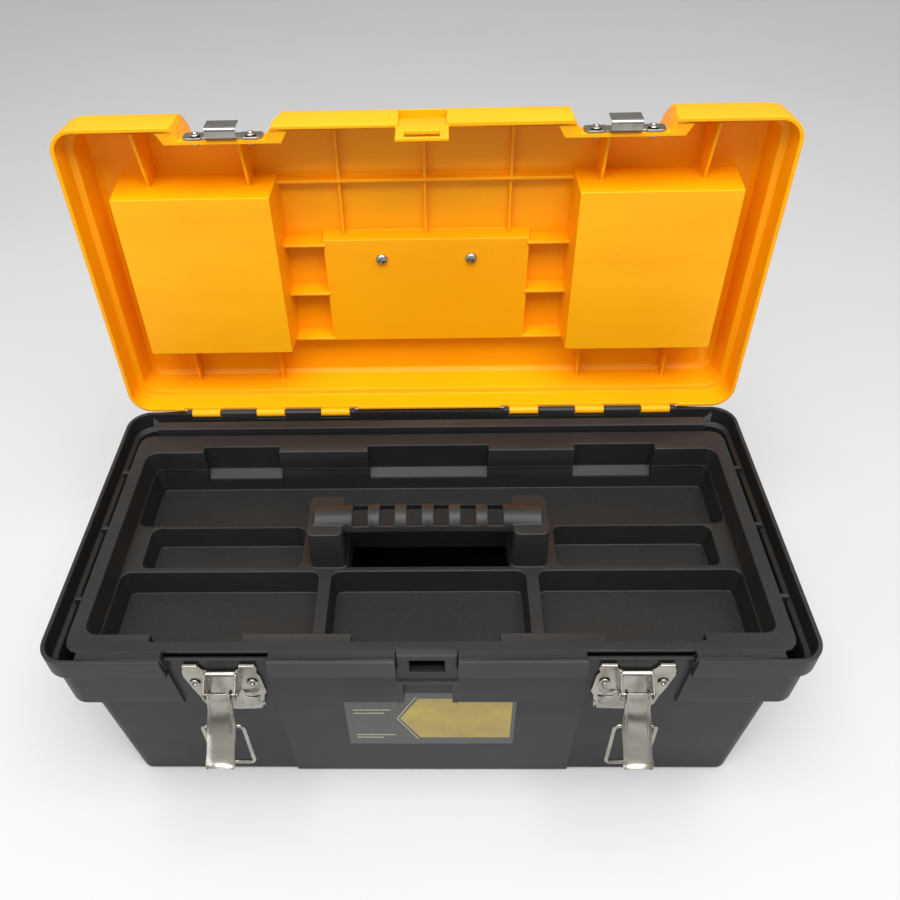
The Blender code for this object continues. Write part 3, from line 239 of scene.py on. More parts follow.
def prism_z(bm, outline, z0, z1):
    """Extrudes an outline of (x, y) points along Z."""
    loft(bm, [[(x, y, z) for x, y in outline] for z in (z0, z1)])


def circle(centre, radius, sides=16):
    points = []
    for index in range(sides):
        angle = 2 * math.pi * (index + 0.5) / sides
        points.append((centre[0] + radius * math.cos(angle), centre[1] + radius * math.sin(angle)))
    return points


def both_sides(build):
    """Draws the same solid at +X and, mirrored, at -X."""
    def draw(bm):
        build(bm, 1.0)
        build(bm, -1.0)
    return draw


def span(side, low, high):
    """An X span on one side of the box, lowest first."""
    return (low, high) if side > 0 else (-high, -low)


def make(name, build, finish):
    """An object at the scene's origin whose mesh build(bm) draws in the box's frame."""
    bm = bmesh.new()
    build(bm)
    bmesh.ops.recalc_face_normals(bm, faces=bm.faces)
    mesh = bpy.data.meshes.new(name)
    bm.to_mesh(mesh)
    bm.free()
    if finish is not None:
        mesh.materials.append(finish)
    item = bpy.data.objects.new(name, mesh)
    bpy.context.scene.collection.objects.link(item)
    return item


def carve(target, name, operation, build):
    """Unites target with, or cuts from it, the solid that build(bm) draws in the box's frame."""
    tool = make(name, build, None)
    modifier = target.modifiers.new(name, "BOOLEAN")
    modifier.operation = operation
    modifier.solver = "EXACT"
    modifier.object = tool


def soften(target, width, angle=35.0, segments=2):
    """Rounds the sharp edges the way a mould or a press leaves them."""
    weld = target.modifiers.new("weld", "WELD")
    weld.merge_threshold = 0.02 * MM
    cut = target.modifiers.new("triangulate", "TRIANGULATE")
    cut.min_vertices = 5
    bevel = target.modifiers.new("bevel", "BEVEL")
    bevel.width = width * MM
    bevel.segments = segments
    bevel.limit_method = "ANGLE"
    bevel.angle_limit = math.radians(angle)
    bevel.use_clamp_overlap = False
    bevel.miter_outer = "MITER_SHARP"
    weighted = target.modifiers.new("weighted", "WEIGHTED_NORMAL")
    weighted.weight = 50


def settle(target, body, stands_for=(), turned=False, smooth=40.0):
    """Applies the modifiers, opens what belongs to the lid, and ties the piece to its body."""
    tools = [m.object for m in target.modifiers if m.type == "BOOLEAN"]
    target.data.shade_smooth()
    target.data.set_sharp_from_angle(angle=math.radians(smooth))
    graph = bpy.context.evaluated_depsgraph_get()
    graph.update()
    baked = bpy.data.meshes.new_from_object(target.evaluated_get(graph), depsgraph=graph)
    finish = target.data.materials[0]
    target.modifiers.clear()
    target.data = baked
    baked.materials.clear()
    baked.materials.append(finish)
    for tool in tools:
        bpy.data.objects.remove(tool, do_unlink=True)
    if turned:
        baked.transform(OPENED)
    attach(target, body)
    if stands_for:
        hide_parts(*stands_for)
    return target


def turned_piece(bm, profile, centre, along, sides=28):
    """A lathe-turned piece: profile gives (radius, position) along an axis parallel to X, Y or Z."""
    rings = []
    for radius, position in profile:
        ring = []
        for a, b in circle(centre, radius, sides):
            point = {"X": (position, a, b), "Y": (a, position, b), "Z": (a, b, position)}[along]
            ring.append(point)
        rings.append(ring)
    loft(bm, rings)


AXIS = Vector((0.0, HINGE_Y, HINGE_Z)) * MM
LID_TURN = Matrix.Rotation(math.radians(-LID_OPEN_ANGLE), 4, "X")
OPENED = Matrix.Translation(AXIS) @ LID_TURN @ Matrix.Translation(-AXIS)


# ---------------------------------------------------------------- materials

class Nodes:
    """A short way to wire one material's nodes."""

    def __init__(self, name):
        self.material = bpy.data.materials.new(name)
        self.material.use_nodes = True
        self.tree = self.material.node_tree
        self.shader = self.tree.nodes["Principled BSDF"]
        self.place = self.add("ShaderNodeTexCoord").outputs["Object"]

    def add(self, kind, **settings):
        node = self.tree.nodes.new(kind)
        for key, value in settings.items():
            setattr(node, key, value)
        return node

    def wire(self, source, target):
        self.tree.links.new(source, target)

    def noise(self, scale, detail=3.0, roughness=0.5, stretch=(1.0, 1.0, 1.0)):
        """Noise over the piece, finer with scale, drawn out where stretch is below one."""
        mapping = self.add("ShaderNodeMapping")
        mapping.inputs["Scale"].default_value = stretch
        self.wire(self.place, mapping.inputs["Vector"])
        noise = self.add("ShaderNodeTexNoise")
        noise.inputs["Scale"].default_value = scale
        noise.inputs["Detail"].default_value = detail
        noise.inputs["Roughness"].default_value = roughness
        self.wire(mapping.outputs["Vector"], noise.inputs["Vector"])
        return noise.outputs["Fac"]

    def ramp(self, source, low, high, to_low=0.0, to_high=1.0):
        """Source between low and high becomes to_low to to_high."""
        node = self.add("ShaderNodeMapRange")
        for name, value in (("From Min", low), ("From Max", high), ("To Min", to_low), ("To Max", to_high)):
            node.inputs[name].default_value = value
        self.wire(source, node.inputs["Value"])
        return node.outputs["Result"]

    def math(self, operation, first, second):
        node = self.add("ShaderNodeMath", operation=operation)
        for index, value in enumerate((first, second)):
            if isinstance(value, float):
                node.inputs[index].default_value = value
            else:
                self.wire(value, node.inputs[index])
        return node.outputs["Value"]

    def mix(self, share, first, second):
        """A colour between first and second; each is a colour or a socket."""
        node = self.add("ShaderNodeMix", data_type="RGBA")
        self.wire(share, node.inputs["Factor"])
        for name, value in (("A", first), ("B", second)):
            socket = [item for item in node.inputs if item.name == name and item.type == "RGBA"][0]
            if isinstance(value, tuple):
                socket.default_value = (*value, 1.0)
            else:
                self.wire(value, socket)
        return [item for item in node.outputs if item.type == "RGBA"][0]

    def edges(self, low=0.515, high=0.60):
        """High along outward, convex edges."""
        geometry = self.add("ShaderNodeNewGeometry")
        return self.ramp(geometry.outputs["Pointiness"], low, high)

    def bump(self, height, strength, distance, before=None):
        node = self.add("ShaderNodeBump")
        node.inputs["Strength"].default_value = strength
        node.inputs["Distance"].default_value = distance * MM
        self.wire(height, node.inputs["Height"])
        if before is not None:
            self.wire(before, node.inputs["Normal"])
        return node.outputs["Normal"]

    def finish(self, colour, roughness, normal, **constants):
        self.wire(colour, self.shader.inputs["Base Color"])
        self.wire(roughness, self.shader.inputs["Roughness"])
        self.wire(normal, self.shader.inputs["Normal"])
        for key, value in constants.items():
            self.shader.inputs[key.replace("_", " ")].default_value = value
        return self.material


def moulded_plastic(name, dark, light, speck_and_edge_colour, roughness, edge_strength, specular):
    """Injection-moulded plastic: spark-eroded grain, faint flow clouds, scratch marks, pale specks, and
    outward edges drawn lighter in patches.
    """
    nodes = Nodes(name)
    clouds = nodes.noise(9.0, 4.0, 0.55)
    flow = nodes.noise(30.0, 5.0, 0.6, (0.25, 1.0, 1.0))
    grain = nodes.noise(1500.0, 2.0, 0.6)
    scratches = nodes.noise(260.0, 3.0, 0.7, (0.06, 1.0, 1.0))
    colour = nodes.mix(nodes.ramp(clouds, 0.3, 0.7), dark, light)
    specks = nodes.ramp(grain, 0.35, 0.75, 0.0, 0.22)
    colour = nodes.mix(specks, colour, speck_and_edge_colour)
    # Outward, convex edges drawn in a lighter colour, in patches set by the flow noise.
    edge_lightening = nodes.math("MULTIPLY", nodes.edges(), nodes.ramp(flow, 0.35, 0.65, 0.15, edge_strength))
    colour = nodes.mix(edge_lightening, colour, speck_and_edge_colour)
    gloss = nodes.ramp(flow, 0.25, 0.75, roughness - 0.06, roughness + 0.08)
    marks = nodes.ramp(scratches, 0.64, 0.74, 0.0, 0.07)
    gloss = nodes.math("ADD", gloss, marks)
    surface = nodes.bump(grain, 0.16, 0.06)
    surface = nodes.bump(scratches, 0.05, 0.05, surface)
    surface = nodes.bump(clouds, 0.10, 0.8, surface)
    return nodes.finish(colour, gloss, surface, Specular_IOR_Level=specular)


def plated_metal(name, bright, dull, roughness, stretch):
    """Bright plating over pressed steel, with draw lines, faint haze and dull specks."""
    nodes = Nodes(name)
    haze = nodes.noise(60.0, 4.0, 0.6)
    lines = nodes.noise(900.0, 2.0, 0.5, stretch)
    specks = nodes.noise(700.0, 2.0, 0.5)
    dulled = nodes.ramp(haze, 0.42, 0.72, 0.0, 0.6)
    colour = nodes.mix(dulled, bright, dull)
    colour = nodes.mix(nodes.ramp(specks, 0.70, 0.78, 0.0, 0.5), colour, (0.30, 0.27, 0.22))
    gloss = nodes.ramp(haze, 0.3, 0.7, roughness - 0.05, roughness + 0.09)
    gloss = nodes.math("ADD", gloss, nodes.ramp(lines, 0.55, 0.75, 0.0, 0.06))
    surface = nodes.bump(lines, 0.05, 0.03)
    surface = nodes.bump(haze, 0.06, 0.5, surface)
    return nodes.finish(colour, gloss, surface, Metallic=1.0)


def smoked_plastic(name):
    """Translucent grey polypropylene with a fine grain."""
    nodes = Nodes(name)
    clouds = nodes.noise(14.0, 4.0, 0.5)
    grain = nodes.noise(1200.0, 2.0, 0.6)
    colour = nodes.mix(nodes.ramp(clouds, 0.3, 0.7), (0.030, 0.031, 0.033), (0.052, 0.053, 0.055))
    colour = nodes.mix(nodes.math("MULTIPLY", nodes.edges(), 0.35), colour, (0.16, 0.16, 0.16))
    gloss = nodes.ramp(clouds, 0.3, 0.7, 0.26, 0.38)
    surface = nodes.bump(grain, 0.12, 0.05)
    surface = nodes.bump(clouds, 0.08, 0.6, surface)
    return nodes.finish(colour, gloss, surface, Transmission_Weight=0.12)


def printed_film(name, ink, faded, roughness):
    """Printed sticker film: slightly uneven ink under a glossy face."""
    nodes = Nodes(name)
    patches = nodes.noise(45.0, 4.0, 0.6)
    dots = nodes.noise(2200.0, 1.0, 0.5)
    colour = nodes.mix(nodes.ramp(patches, 0.3, 0.7), ink, faded)
    colour = nodes.mix(nodes.ramp(dots, 0.55, 0.75, 0.0, 0.25), colour, faded)
    gloss = nodes.ramp(patches, 0.3, 0.7, roughness - 0.05, roughness + 0.1)
    surface = nodes.bump(patches, 0.10, 0.25)
    return nodes.finish(colour, gloss, surface, Coat_Weight=0.4, Coat_Roughness=0.12)


def studio_floor(name):
    """A pale painted floor with the least unevenness."""
    nodes = Nodes(name)
    clouds = nodes.noise(3.0, 3.0, 0.5)
    colour = nodes.mix(clouds, (0.60, 0.60, 0.60), (0.64, 0.64, 0.64))
    gloss = nodes.ramp(clouds, 0.3, 0.7, 0.75, 0.85)
    return nodes.finish(colour, gloss, nodes.bump(nodes.noise(400.0), 0.02, 0.1))


# ---------------------------------------------------------------- tub

def tub_shell(bm):
    rim = (RIM_FRONT_Y, RIM_BACK_Y)
    outer = [
        (0.0, BODY_FOOT_HALF_X, BODY_FOOT_Y, 1.8, 6.5),
        (2.0, BODY_FOOT_HALF_X, BODY_FOOT_Y, 0.0, 8.3),
        (BODY_TOP_Z, BODY_TOP_HALF_X, BODY_TOP_Y, 0.0, 7.6),
        (FLANGE_LOW_Z, FLANGE_HALF_X, FLANGE_Y, 2.2, 9.5),
        (FLANGE_LOW_Z + 2.6, FLANGE_HALF_X, FLANGE_Y, 0.0, 11.0),
        (BAND_LOW_Z - 0.8, FLANGE_HALF_X + 1.8, FLANGE_Y, 0.0, 12.6),
        (BAND_LOW_Z, RIM_HALF_X, rim, 0.0, RIM_CORNER),
        (TUB_HEIGHT, RIM_HALF_X, rim, 0.0, RIM_CORNER),
    ]
    inner = [
        (TUB_HEIGHT, RIM_HALF_X, rim, WALL, RIM_CORNER - WALL),
        (BAND_LOW_Z + 2.6, RIM_HALF_X, rim, WALL, RIM_CORNER - WALL),
        (BAND_LOW_Z + 1.4, FLANGE_HALF_X + 1.4, FLANGE_Y, WALL, 10.4),
        (FLANGE_LOW_Z + 4.5, FLANGE_HALF_X, FLANGE_Y, WALL, 9.0),
        (FLANGE_LOW_Z + 2.8, BODY_TOP_HALF_X, BODY_TOP_Y, WALL, 5.2),
        (FLOOR_THICK + 1.0, BODY_FOOT_HALF_X, BODY_FOOT_Y, WALL, 5.8),
        (FLOOR_THICK, BODY_FOOT_HALF_X, BODY_FOOT_Y, WALL + 1.0, 5.2),
    ]
    loft(bm, [inset_ring(*row) for row in outer + inner])


def tub_rails(bm):
    """The thick stretches of the front rim, and the block that carries the padlock eye."""
    low_z = BAND_LOW_Z + 1.0
    front_y = RIM_FRONT_Y + 1.3
    for side in (1.0, -1.0):
        for near, far in ((LUG_HALF_X, POCKET_INNER_X), (POCKET_OUTER_X, RAIL_ENDS_X)):
            x0, x1 = span(side, near, far)
            box(bm, (x0, front_y, low_z), (x1, RAIL_BACK_Y, RAIL_TOP_Z))
    box(bm, (-LUG_HALF_X + 0.4, front_y, low_z - 6.0), (LUG_HALF_X - 0.4, RAIL_BACK_Y + 0.7, RAIL_TOP_Z))


def tub_pocket_backs(bm, side):
    """The wall behind a latch pocket, set further in than the flange."""
    x0, x1 = span(side, POCKET_INNER_X - 2.7, POCKET_OUTER_X + 2.7)
    box(bm, (x0, FLANGE_Y[0] + 0.6, FLANGE_LOW_Z + 1.2), (x1, POCKET_FACE_Y + WALL, POCKET_TOP_Z))


def tub_notch_back(bm):
    """The body wall running up behind the notch under the padlock eye."""
    box(bm, (-17.0, FLANGE_Y[0] + 1.1, FLANGE_LOW_Z - 0.5), (17.0, NOTCH_FACE_Y + WALL, NOTCH_TOP_Z + 3.4))


def tub_front_panel(bm):
    """The raised middle of the front, where the label goes."""
    foot_y = BODY_FOOT_Y[0]
    top_y = BODY_TOP_Y[0]
    sunk = WALL / 2
    lower = ((-PANEL_HALF_X + 2.5, PANEL_HALF_X - 2.5), (foot_y - PANEL_PROUD, foot_y + sunk), 1.2)
    upper = ((-PANEL_HALF_X, PANEL_HALF_X), (top_y - PANEL_PROUD, top_y + sunk), FLANGE_LOW_Z + 1.0)
    frustum(bm, lower, upper)


def tub_panel_hollow(bm):
    """Keeps the wall behind the raised panel as thin as the rest."""
    foot_y = BODY_FOOT_Y[0] - PANEL_PROUD + WALL
    top_y = BODY_TOP_Y[0] - PANEL_PROUD + WALL
    reach = 5.0
    lower = ((-PANEL_HALF_X + 5.1, PANEL_HALF_X - 5.1), (foot_y, foot_y + reach), FLOOR_THICK + 3.0)
    upper = ((-PANEL_HALF_X + 2.7, PANEL_HALF_X - 2.7), (top_y, top_y + reach), BODY_TOP_Z - 3.0)
    frustum(bm, lower, upper)


def tub_back_bar(bm):
    """A shelf along the back with an upright bar that stiffens the hinge side."""
    shelf_z = 148.0
    shelf_top_z = 150.6
    back_y = RIM_BACK_Y - WALL / 2
    outline = [
        (BAR_FRONT_Y, shelf_z), (back_y, shelf_z), (back_y, shelf_top_z),
        (BAR_BACK_Y, shelf_top_z), (BAR_BACK_Y, RAIL_TOP_Z), (BAR_FRONT_Y, RAIL_TOP_Z),
    ]
    prism_x(bm, outline, -193.0, 193.0)


def tub_tray_ribs(bm):
    """Upright ribs inside the flange that the tray's rim sits on."""
    low_z = FLANGE_LOW_Z + 1.5
    half = RIB_THICK / 2
    back = [(76.5, low_z), (98.5, low_z), (98.5, 149.0), (83.6, 149.0), (83.6, RIB_TOP_Z), (76.5, RIB_TOP_Z)]
    for x in (-180.0, -72.0, 72.0, 180.0):
        box(bm, (x - half, -99.2, low_z), (x + half, -88.5, RIB_TOP_Z))
        prism_x(bm, back, x - half, x + half)
    for y in (-55.0, 0.0, 50.0):
        for side in (1.0, -1.0):
            x0, x1 = span(side, 200.6, 210.6)
            box(bm, (x0, y - half, low_z), (x1, y + half, RIB_TOP_Z))


def hinge_barrel(x_low, x_high, radius):
    def draw(bm, side):
        x0, x1 = span(side, x_low, x_high)
        prism_x(bm, circle((HINGE_Y, HINGE_Z), radius), x0, x1)
    return both_sides(draw)


def lid_ear_starts():
    return [HINGE_START_X + index * LID_EAR_PITCH for index in range(LID_EARS)]


def hinge_end_x():
    return lid_ear_starts()[-1] + LID_EAR_WIDTH


def tub_ear_slots(bm, side):
    """Room in the back rim for the lid's ears."""
    for start in lid_ear_starts():
        x0, x1 = span(side, start - GAP, start + LID_EAR_WIDTH + GAP)
        box(bm, (x0, 99.0, HINGE_Z - HINGE_RADIUS - 0.4), (x1, 107.5, TUB_HEIGHT + 2.0))


def tub_latch_pockets(bm, side):
    x0, x1 = span(side, POCKET_INNER_X, POCKET_OUTER_X)
    lower = ((x0 + 4.0, x1 - 4.0), (-110.0, POCKET_FACE_Y), FLANGE_LOW_Z - 6.0)
    upper = ((x0, x1), (-110.0, POCKET_FACE_Y), TUB_HEIGHT + 3.0)
    frustum(bm, lower, upper)


def tub_padlock_recess(bm):
    box(bm, (-LUG_HALF_X, -110.0, 136.0), (LUG_HALF_X, LUG_FACE_Y, TUB_HEIGHT + 3.0))


def tub_padlock_slot(bm):
    low, high = LUG_SLOT_Z
    box(bm, (-LUG_SLOT_HALF_X, -105.0, low), (LUG_SLOT_HALF_X, -92.0, high))


def tub_notch(bm):
    box(bm, (-NOTCH_HALF_X, -106.0, FLANGE_LOW_Z - 4.0), (NOTCH_HALF_X, NOTCH_FACE_Y, NOTCH_TOP_Z))


def tub_rivet_holes(bm, side):
    for x, z in LATCH_RIVETS:
        prism_y(bm, circle((side * (LATCH_X - x), z), 1.9, 12), -104.0, -92.0)


def build_tub(finish):
    tub = make("tub_moulding", tub_shell, finish)
    end_x = hinge_end_x()
    carve(tub, "tub_add_rails", "UNION", tub_rails)
    carve(tub, "tub_add_pocket_backs", "UNION", both_sides(tub_pocket_backs))
    carve(tub, "tub_add_notch_back", "UNION", tub_notch_back)
    carve(tub, "tub_add_front_panel", "UNION", tub_front_panel)
    carve(tub, "tub_cut_panel", "DIFFERENCE", tub_panel_hollow)
    carve(tub, "tub_add_back_bar", "UNION", tub_back_bar)
    carve(tub, "tub_add_ribs", "UNION", tub_tray_ribs)
    carve(tub, "tub_add_hinge", "UNION", hinge_barrel(HINGE_START_X - 4.0, end_x + 4.0, TUB_EAR_RADIUS))
    carve(tub, "tub_cut_ears", "DIFFERENCE", both_sides(tub_ear_slots))
    carve(tub, "tub_cut_pin", "DIFFERENCE", hinge_barrel(HINGE_START_X - 5.0, end_x + 5.0, PIN_HOLE_RADIUS))
    carve(tub, "tub_cut_pockets", "DIFFERENCE", both_sides(tub_latch_pockets))
    carve(tub, "tub_cut_recess", "DIFFERENCE", tub_padlock_recess)
    carve(tub, "tub_cut_slot", "DIFFERENCE", tub_padlock_slot)
    carve(tub, "tub_cut_notch", "DIFFERENCE", tub_notch)
    carve(tub, "tub_cut_rivets", "DIFFERENCE", both_sides(tub_rivet_holes))


# ---------------------------------------------------------------- tray

def tray_pan(bm):
    """The solid outside of the tray below its rim."""
    lower = rect_ring((-192.5, 192.5), (-81.0, 66.8), 7.0, TRAY_UNDER_Z)
    upper_x = (-WELL_HALF_X - 1.9, WELL_HALF_X + 1.9)
    upper_y = (WELL_FRONT_Y - 1.9, WELL_BACK_Y + 2.0)
    upper = rect_ring(upper_x, upper_y, 9.0, 153.5)
    loft(bm, [lower, upper])


def tray_rim(bm):
    low_z = TRAY_TOP_Z - TRAY_RIM_THICK
    spans = ((-TRAY_HALF_X, TRAY_HALF_X), (TRAY_FRONT_Y, TRAY_BACK_Y))
    loft(bm, [rect_ring(*spans, 9.0, low_z), rect_ring(*spans, 9.0, TRAY_TOP_Z)])


def scallop_prism(bm, x_span, edge_y, outward, depth, low_z, high_z):
    """A shallow bay in the tray's long wall with a sloping foot."""
    near = edge_y - outward * 3.0
    far = edge_y + outward * depth
    outline = [(near, low_z - 3.0), (edge_y, low_z), (far, low_z + 4.5), (far, high_z), (near, high_z)]
    prism_x(bm, outline, *x_span)


def tray_bay_walls(bm):
    for x0, x1 in SCALLOP_SPANS:
        widened = (x0 - TRAY_WALL, x1 + TRAY_WALL)
        scallop_prism(bm, widened, WELL_BACK_Y, 1.0, SCALLOP_DEPTH + TRAY_WALL, 127.4, 153.9)
        scallop_prism(bm, widened, WELL_FRONT_Y, -1.0, SCALLOP_DEPTH + TRAY_WALL - 0.6, 127.4, 153.9)


def tray_bays(bm):
    for x_span in SCALLOP_SPANS:
        scallop_prism(bm, x_span, WELL_BACK_Y, 1.0, SCALLOP_DEPTH, 130.0, 156.0)
        scallop_prism(bm, x_span, WELL_FRONT_Y, -1.0, SCALLOP_DEPTH - 0.6, 130.0, 156.0)


def tray_well(bm):
    """The open space above the ridge and the dividers."""
    upper = rect_ring((-WELL_HALF_X - 0.1, WELL_HALF_X + 0.1), (WELL_FRONT_Y, WELL_BACK_Y), 7.0, 156.0)
    lower = rect_ring((-194.0, 194.0), (WELL_FRONT_Y + 0.8, WELL_BACK_Y - 0.2), 6.0, RIDGE_TOP_Z)
    loft(bm, [lower, upper])


def compartment(bm, x_span, y_span, floor_z, radius=5.0, draft=1.2):
    """A compartment below the ridge's level, narrowing to its floor."""
    top = rect_ring(x_span, y_span, radius, RIDGE_TOP_Z + 1.0)
    x_floor = (x_span[0] + draft, x_span[1] - draft)
    y_floor = (y_span[0] + draft, y_span[1] - draft)
    loft(bm, [rect_ring(x_floor, y_floor, radius - 1.0, floor_z), top])


def tray_back_compartment(bm):
    compartment(bm, (-193.2, 193.2), (RIDGE_BACK_Y, WELL_BACK_Y - 0.4), TRAY_FLOOR_Z)


def tray_front_compartments(bm):
    inner, outer = DIVIDER_X
    y_span = (WELL_FRONT_Y + 1.0, RIDGE_FRONT_Y)
    for x_span in ((-193.2, -outer), (-inner, inner), (outer, 193.2)):
        compartment(bm, x_span, y_span, TRAY_FLOOR_Z)


def tray_shallow_pockets(bm, side):
    compartment(bm, span(side, *SHALLOW_X), SHALLOW_Y, SHALLOW_FLOOR_Z)


def tray_hand_hole(bm):
    y_span = (POST_Y[0] + 0.6, POST_Y[1] - 0.6)
    box(bm, (-HAND_HOLE_HALF_X, y_span[0], 110.0), (HAND_HOLE_HALF_X, y_span[1], RIDGE_TOP_Z + 3.0))


def tray_under_hollows(bm, side):
    """The underside is hollow below the posts, the ridge ends and the dividers."""
    for (x_low, x_high), y_span, high_z in (
        ((54.2, 72.0), (-19.6, 8.6), 158.0),
        ((185.2, 189.6), (-19.6, 8.6), 136.0),
        ((63.0, 65.8), (-77.0, -29.0), 136.0),
    ):
        x0, x1 = span(side, x_low, x_high)
        box(bm, (x0, y_span[0], 110.0), (x1, y_span[1], high_z))


def tray_posts(bm, side):
    x_span = span(side, *POST_X)
    lower = rect_ring(x_span, POST_Y, 4.0, RIDGE_TOP_Z - 0.8)
    upper_x = (x_span[0] + 0.6, x_span[1] - 0.6)
    upper = rect_ring(upper_x, (POST_Y[0] + 0.8, POST_Y[1] - 0.8), 4.0, POST_TOP_Z)
    loft(bm, [lower, upper])


def grip_outline(rise):
    """The half-round shell of the grip in (y, z), open below."""
    sides = 9
    outer = []
    inner = []
    for index in range(sides + 1):
        angle = math.pi * index / sides
        cosine, sine = math.cos(angle), math.sin(angle)
        outer.append((GRIP_Y + GRIP_RADIUS * cosine, GRIP_Z + rise + GRIP_RADIUS * sine))
        inner_radius = GRIP_RADIUS - GRIP_WALL
        inner.append((GRIP_Y + inner_radius * cosine, GRIP_Z + rise + inner_radius * sine))
    return outer + list(reversed(inner))


def tray_grip(bm):
    stations = 12
    rings = []
    for index in range(stations + 1):
        along = 2.0 * index / stations - 1.0
        rise = GRIP_ARCH * (1.0 - along * along)
        rings.append([(GRIP_HALF_X * along, y, z) for y, z in grip_outline(rise)])
    loft(bm, rings)


def tray_grip_slots(bm):
    half = GRIP_SLOT_WIDTH / 2
    for index in range(6):
        x = (index - 2.5) * GRIP_SLOT_PITCH
        box(bm, (x - half, GRIP_Y - 8.6, 160.0), (x + half, GRIP_Y + 8.6, 180.0))


def build_tray(finish):
    tray = make("tray_moulding", tray_pan, finish)
    carve(tray, "tray_add_rim", "UNION", tray_rim)
    carve(tray, "tray_add_bays", "UNION", tray_bay_walls)
    carve(tray, "tray_cut_well", "DIFFERENCE", tray_well)
    carve(tray, "tray_cut_bays", "DIFFERENCE", tray_bays)
    carve(tray, "tray_cut_back", "DIFFERENCE", tray_back_compartment)
    carve(tray, "tray_cut_front", "DIFFERENCE", tray_front_compartments)
    carve(tray, "tray_cut_shallow", "DIFFERENCE", both_sides(tray_shallow_pockets))
    carve(tray, "tray_add_posts", "UNION", both_sides(tray_posts))
    carve(tray, "tray_add_grip", "UNION", tray_grip)
    carve(tray, "tray_cut_hole", "DIFFERENCE", tray_hand_hole)
    carve(tray, "tray_cut_under", "DIFFERENCE", both_sides(tray_under_hollows))
    carve(tray, "tray_cut_slots", "DIFFERENCE", tray_grip_slots)


# ---------------------------------------------------------------- lid

def lid_y(v):
    return RIM_BACK_Y - v


def lid_z(w):
    return TUB_HEIGHT + w


def v_span(v_low, v_high):
    """The Y span of a V span, lowest first."""
    return (lid_y(v_high), lid_y(v_low))


def lid_shell(bm):
    rim = (RIM_FRONT_Y, RIM_BACK_Y)
    outer = [
        (LID_DEPTH, 13.5, 8.0), (36.8, 9.5, 10.0), (33.5, 5.5, 12.0),
        (29.0, 2.4, 14.0), (23.0, 0.6, 15.0), (GAP, 0.0, RIM_CORNER),
    ]
    inner = [
        (GAP, WALL, RIM_CORNER - WALL), (14.6, 3.4, 12.2), (15.6, 7.5, 10.0),
        (33.0, 9.4, 8.5), (LID_DEPTH - 2.4, 12.5, 7.0),
    ]
    loft(bm, [inset_ring(lid_z(w), RIM_HALF_X, rim, inset, radius) for w, inset, radius in outer + inner])


def lid_box_shells(bm, side):
    """The outsides of the two organiser boxes that hang inside the lid."""
    x0, x1 = span(side, *BOX_X)
    lower = ((x0, x1), v_span(*BOX_V), lid_z(BOX_FACE_W))
    upper = ((x0 - 1.6, x1 + 1.6), v_span(BOX_V[0] - 2.0, BOX_V[1] + 3.0), lid_z(36.6))
    frustum(bm, lower, upper)


def lid_box_cavities(bm, side):
    x0, x1 = span(side, *BOX_X)
    lower = ((x0 + 2.0, x1 - 2.0), v_span(BOX_V[0] + 2.0, BOX_V[1] - 2.0), lid_z(BOX_FACE_W + 2.0))
    upper = ((x0 + 0.4, x1 - 0.4), v_span(BOX_V[0], BOX_V[1] + 1.0), lid_z(41.0))
    frustum(bm, lower, upper)


def lid_pad_shell(bm):
    lower = ((-PAD_HALF_X, PAD_HALF_X), v_span(*PAD_V), lid_z(PAD_FACE_W))
    upper = ((-68.4, 68.4), v_span(PAD_V[0] - 1.4, PAD_V[1] + 1.4), lid_z(36.7))
    frustum(bm, lower, upper)


def lid_pad_cavity(bm):
    """The recess on top of the lid where the carry handle folds away."""
    lower = ((-65.0, 65.0), v_span(PAD_V[0] + 2.0, PAD_V[1] - 2.0), lid_z(PAD_FACE_W + 2.0))
    upper = ((-66.2, 66.2), v_span(PAD_V[0] + 0.8, PAD_V[1] - 0.8), lid_z(41.0))
    frustum(bm, lower, upper)


def lid_cross_ribs(bm):
    """Ribs that run along X between the pad and the boxes."""
    for v in (46.5, 83.0, 119.5):
        for side in (1.0, -1.0):
            x0, x1 = span(side, PAD_HALF_X + 0.4, BOX_X[0] - 0.9)
            y0, y1 = v_span(v - 1.0, v + 1.0)
            box(bm, (x0 - 1.6, y0, lid_z(23.0)), (x1 + 1.6, y1, lid_z(36.3)))


def lid_long_rib(bm):
    y0, y1 = v_span(160.0, 162.2)
    box(bm, (-93.3, y0, lid_z(28.5)), (93.3, y1, lid_z(36.4)))


def lid_front_ribs(bm):
    """Upright ribs from the front wall to the pad."""
    for x in (-54.0, 0.0, 54.0):
        y0, y1 = v_span(124.0, LID_WALL_V)
        box(bm, (x - 1.0, y0, lid_z(31.0)), (x + 1.0, y1, lid_z(36.2)))


def lid_box_gussets(bm, side):
    """Gussets between the boxes and the lid's front and back walls."""
    for x in (108.0, 170.0):
        x0, x1 = span(side, x - 1.0, x + 1.0)
        front = [(lid_y(160.0), lid_z(19.8)), (lid_y(LID_WALL_V), lid_z(9.0)),
                 (lid_y(LID_WALL_V), lid_z(34.6)), (lid_y(160.0), lid_z(36.4))]
        prism_x(bm, front, x0, x1)
        back = [(lid_y(6.5), lid_z(26.0)), (lid_y(48.5), lid_z(26.0)),
                (lid_y(48.5), lid_z(36.4)), (lid_y(6.5), lid_z(34.6))]
        prism_x(bm, back, x0, x1)


def lid_notch_backs(bm, side):
    """The wall behind a latch notch."""
    centre_x = side * STRIKE_X
    profile = [(196.9, 0.6), (206.3, 0.6), (206.3, 22.0), (199.8, 34.0), (195.0, 36.6),
               (186.3, 36.6), (196.9, 11.5)]
    rings = []
    for sign in (-1.0, 1.0):
        ring = []
        for v, w in profile:
            half = 28.0 + (v - 186.3) * 0.57
            ring.append((centre_x + sign * half, lid_y(v), lid_z(w)))
        rings.append(ring)
    loft(bm, rings)


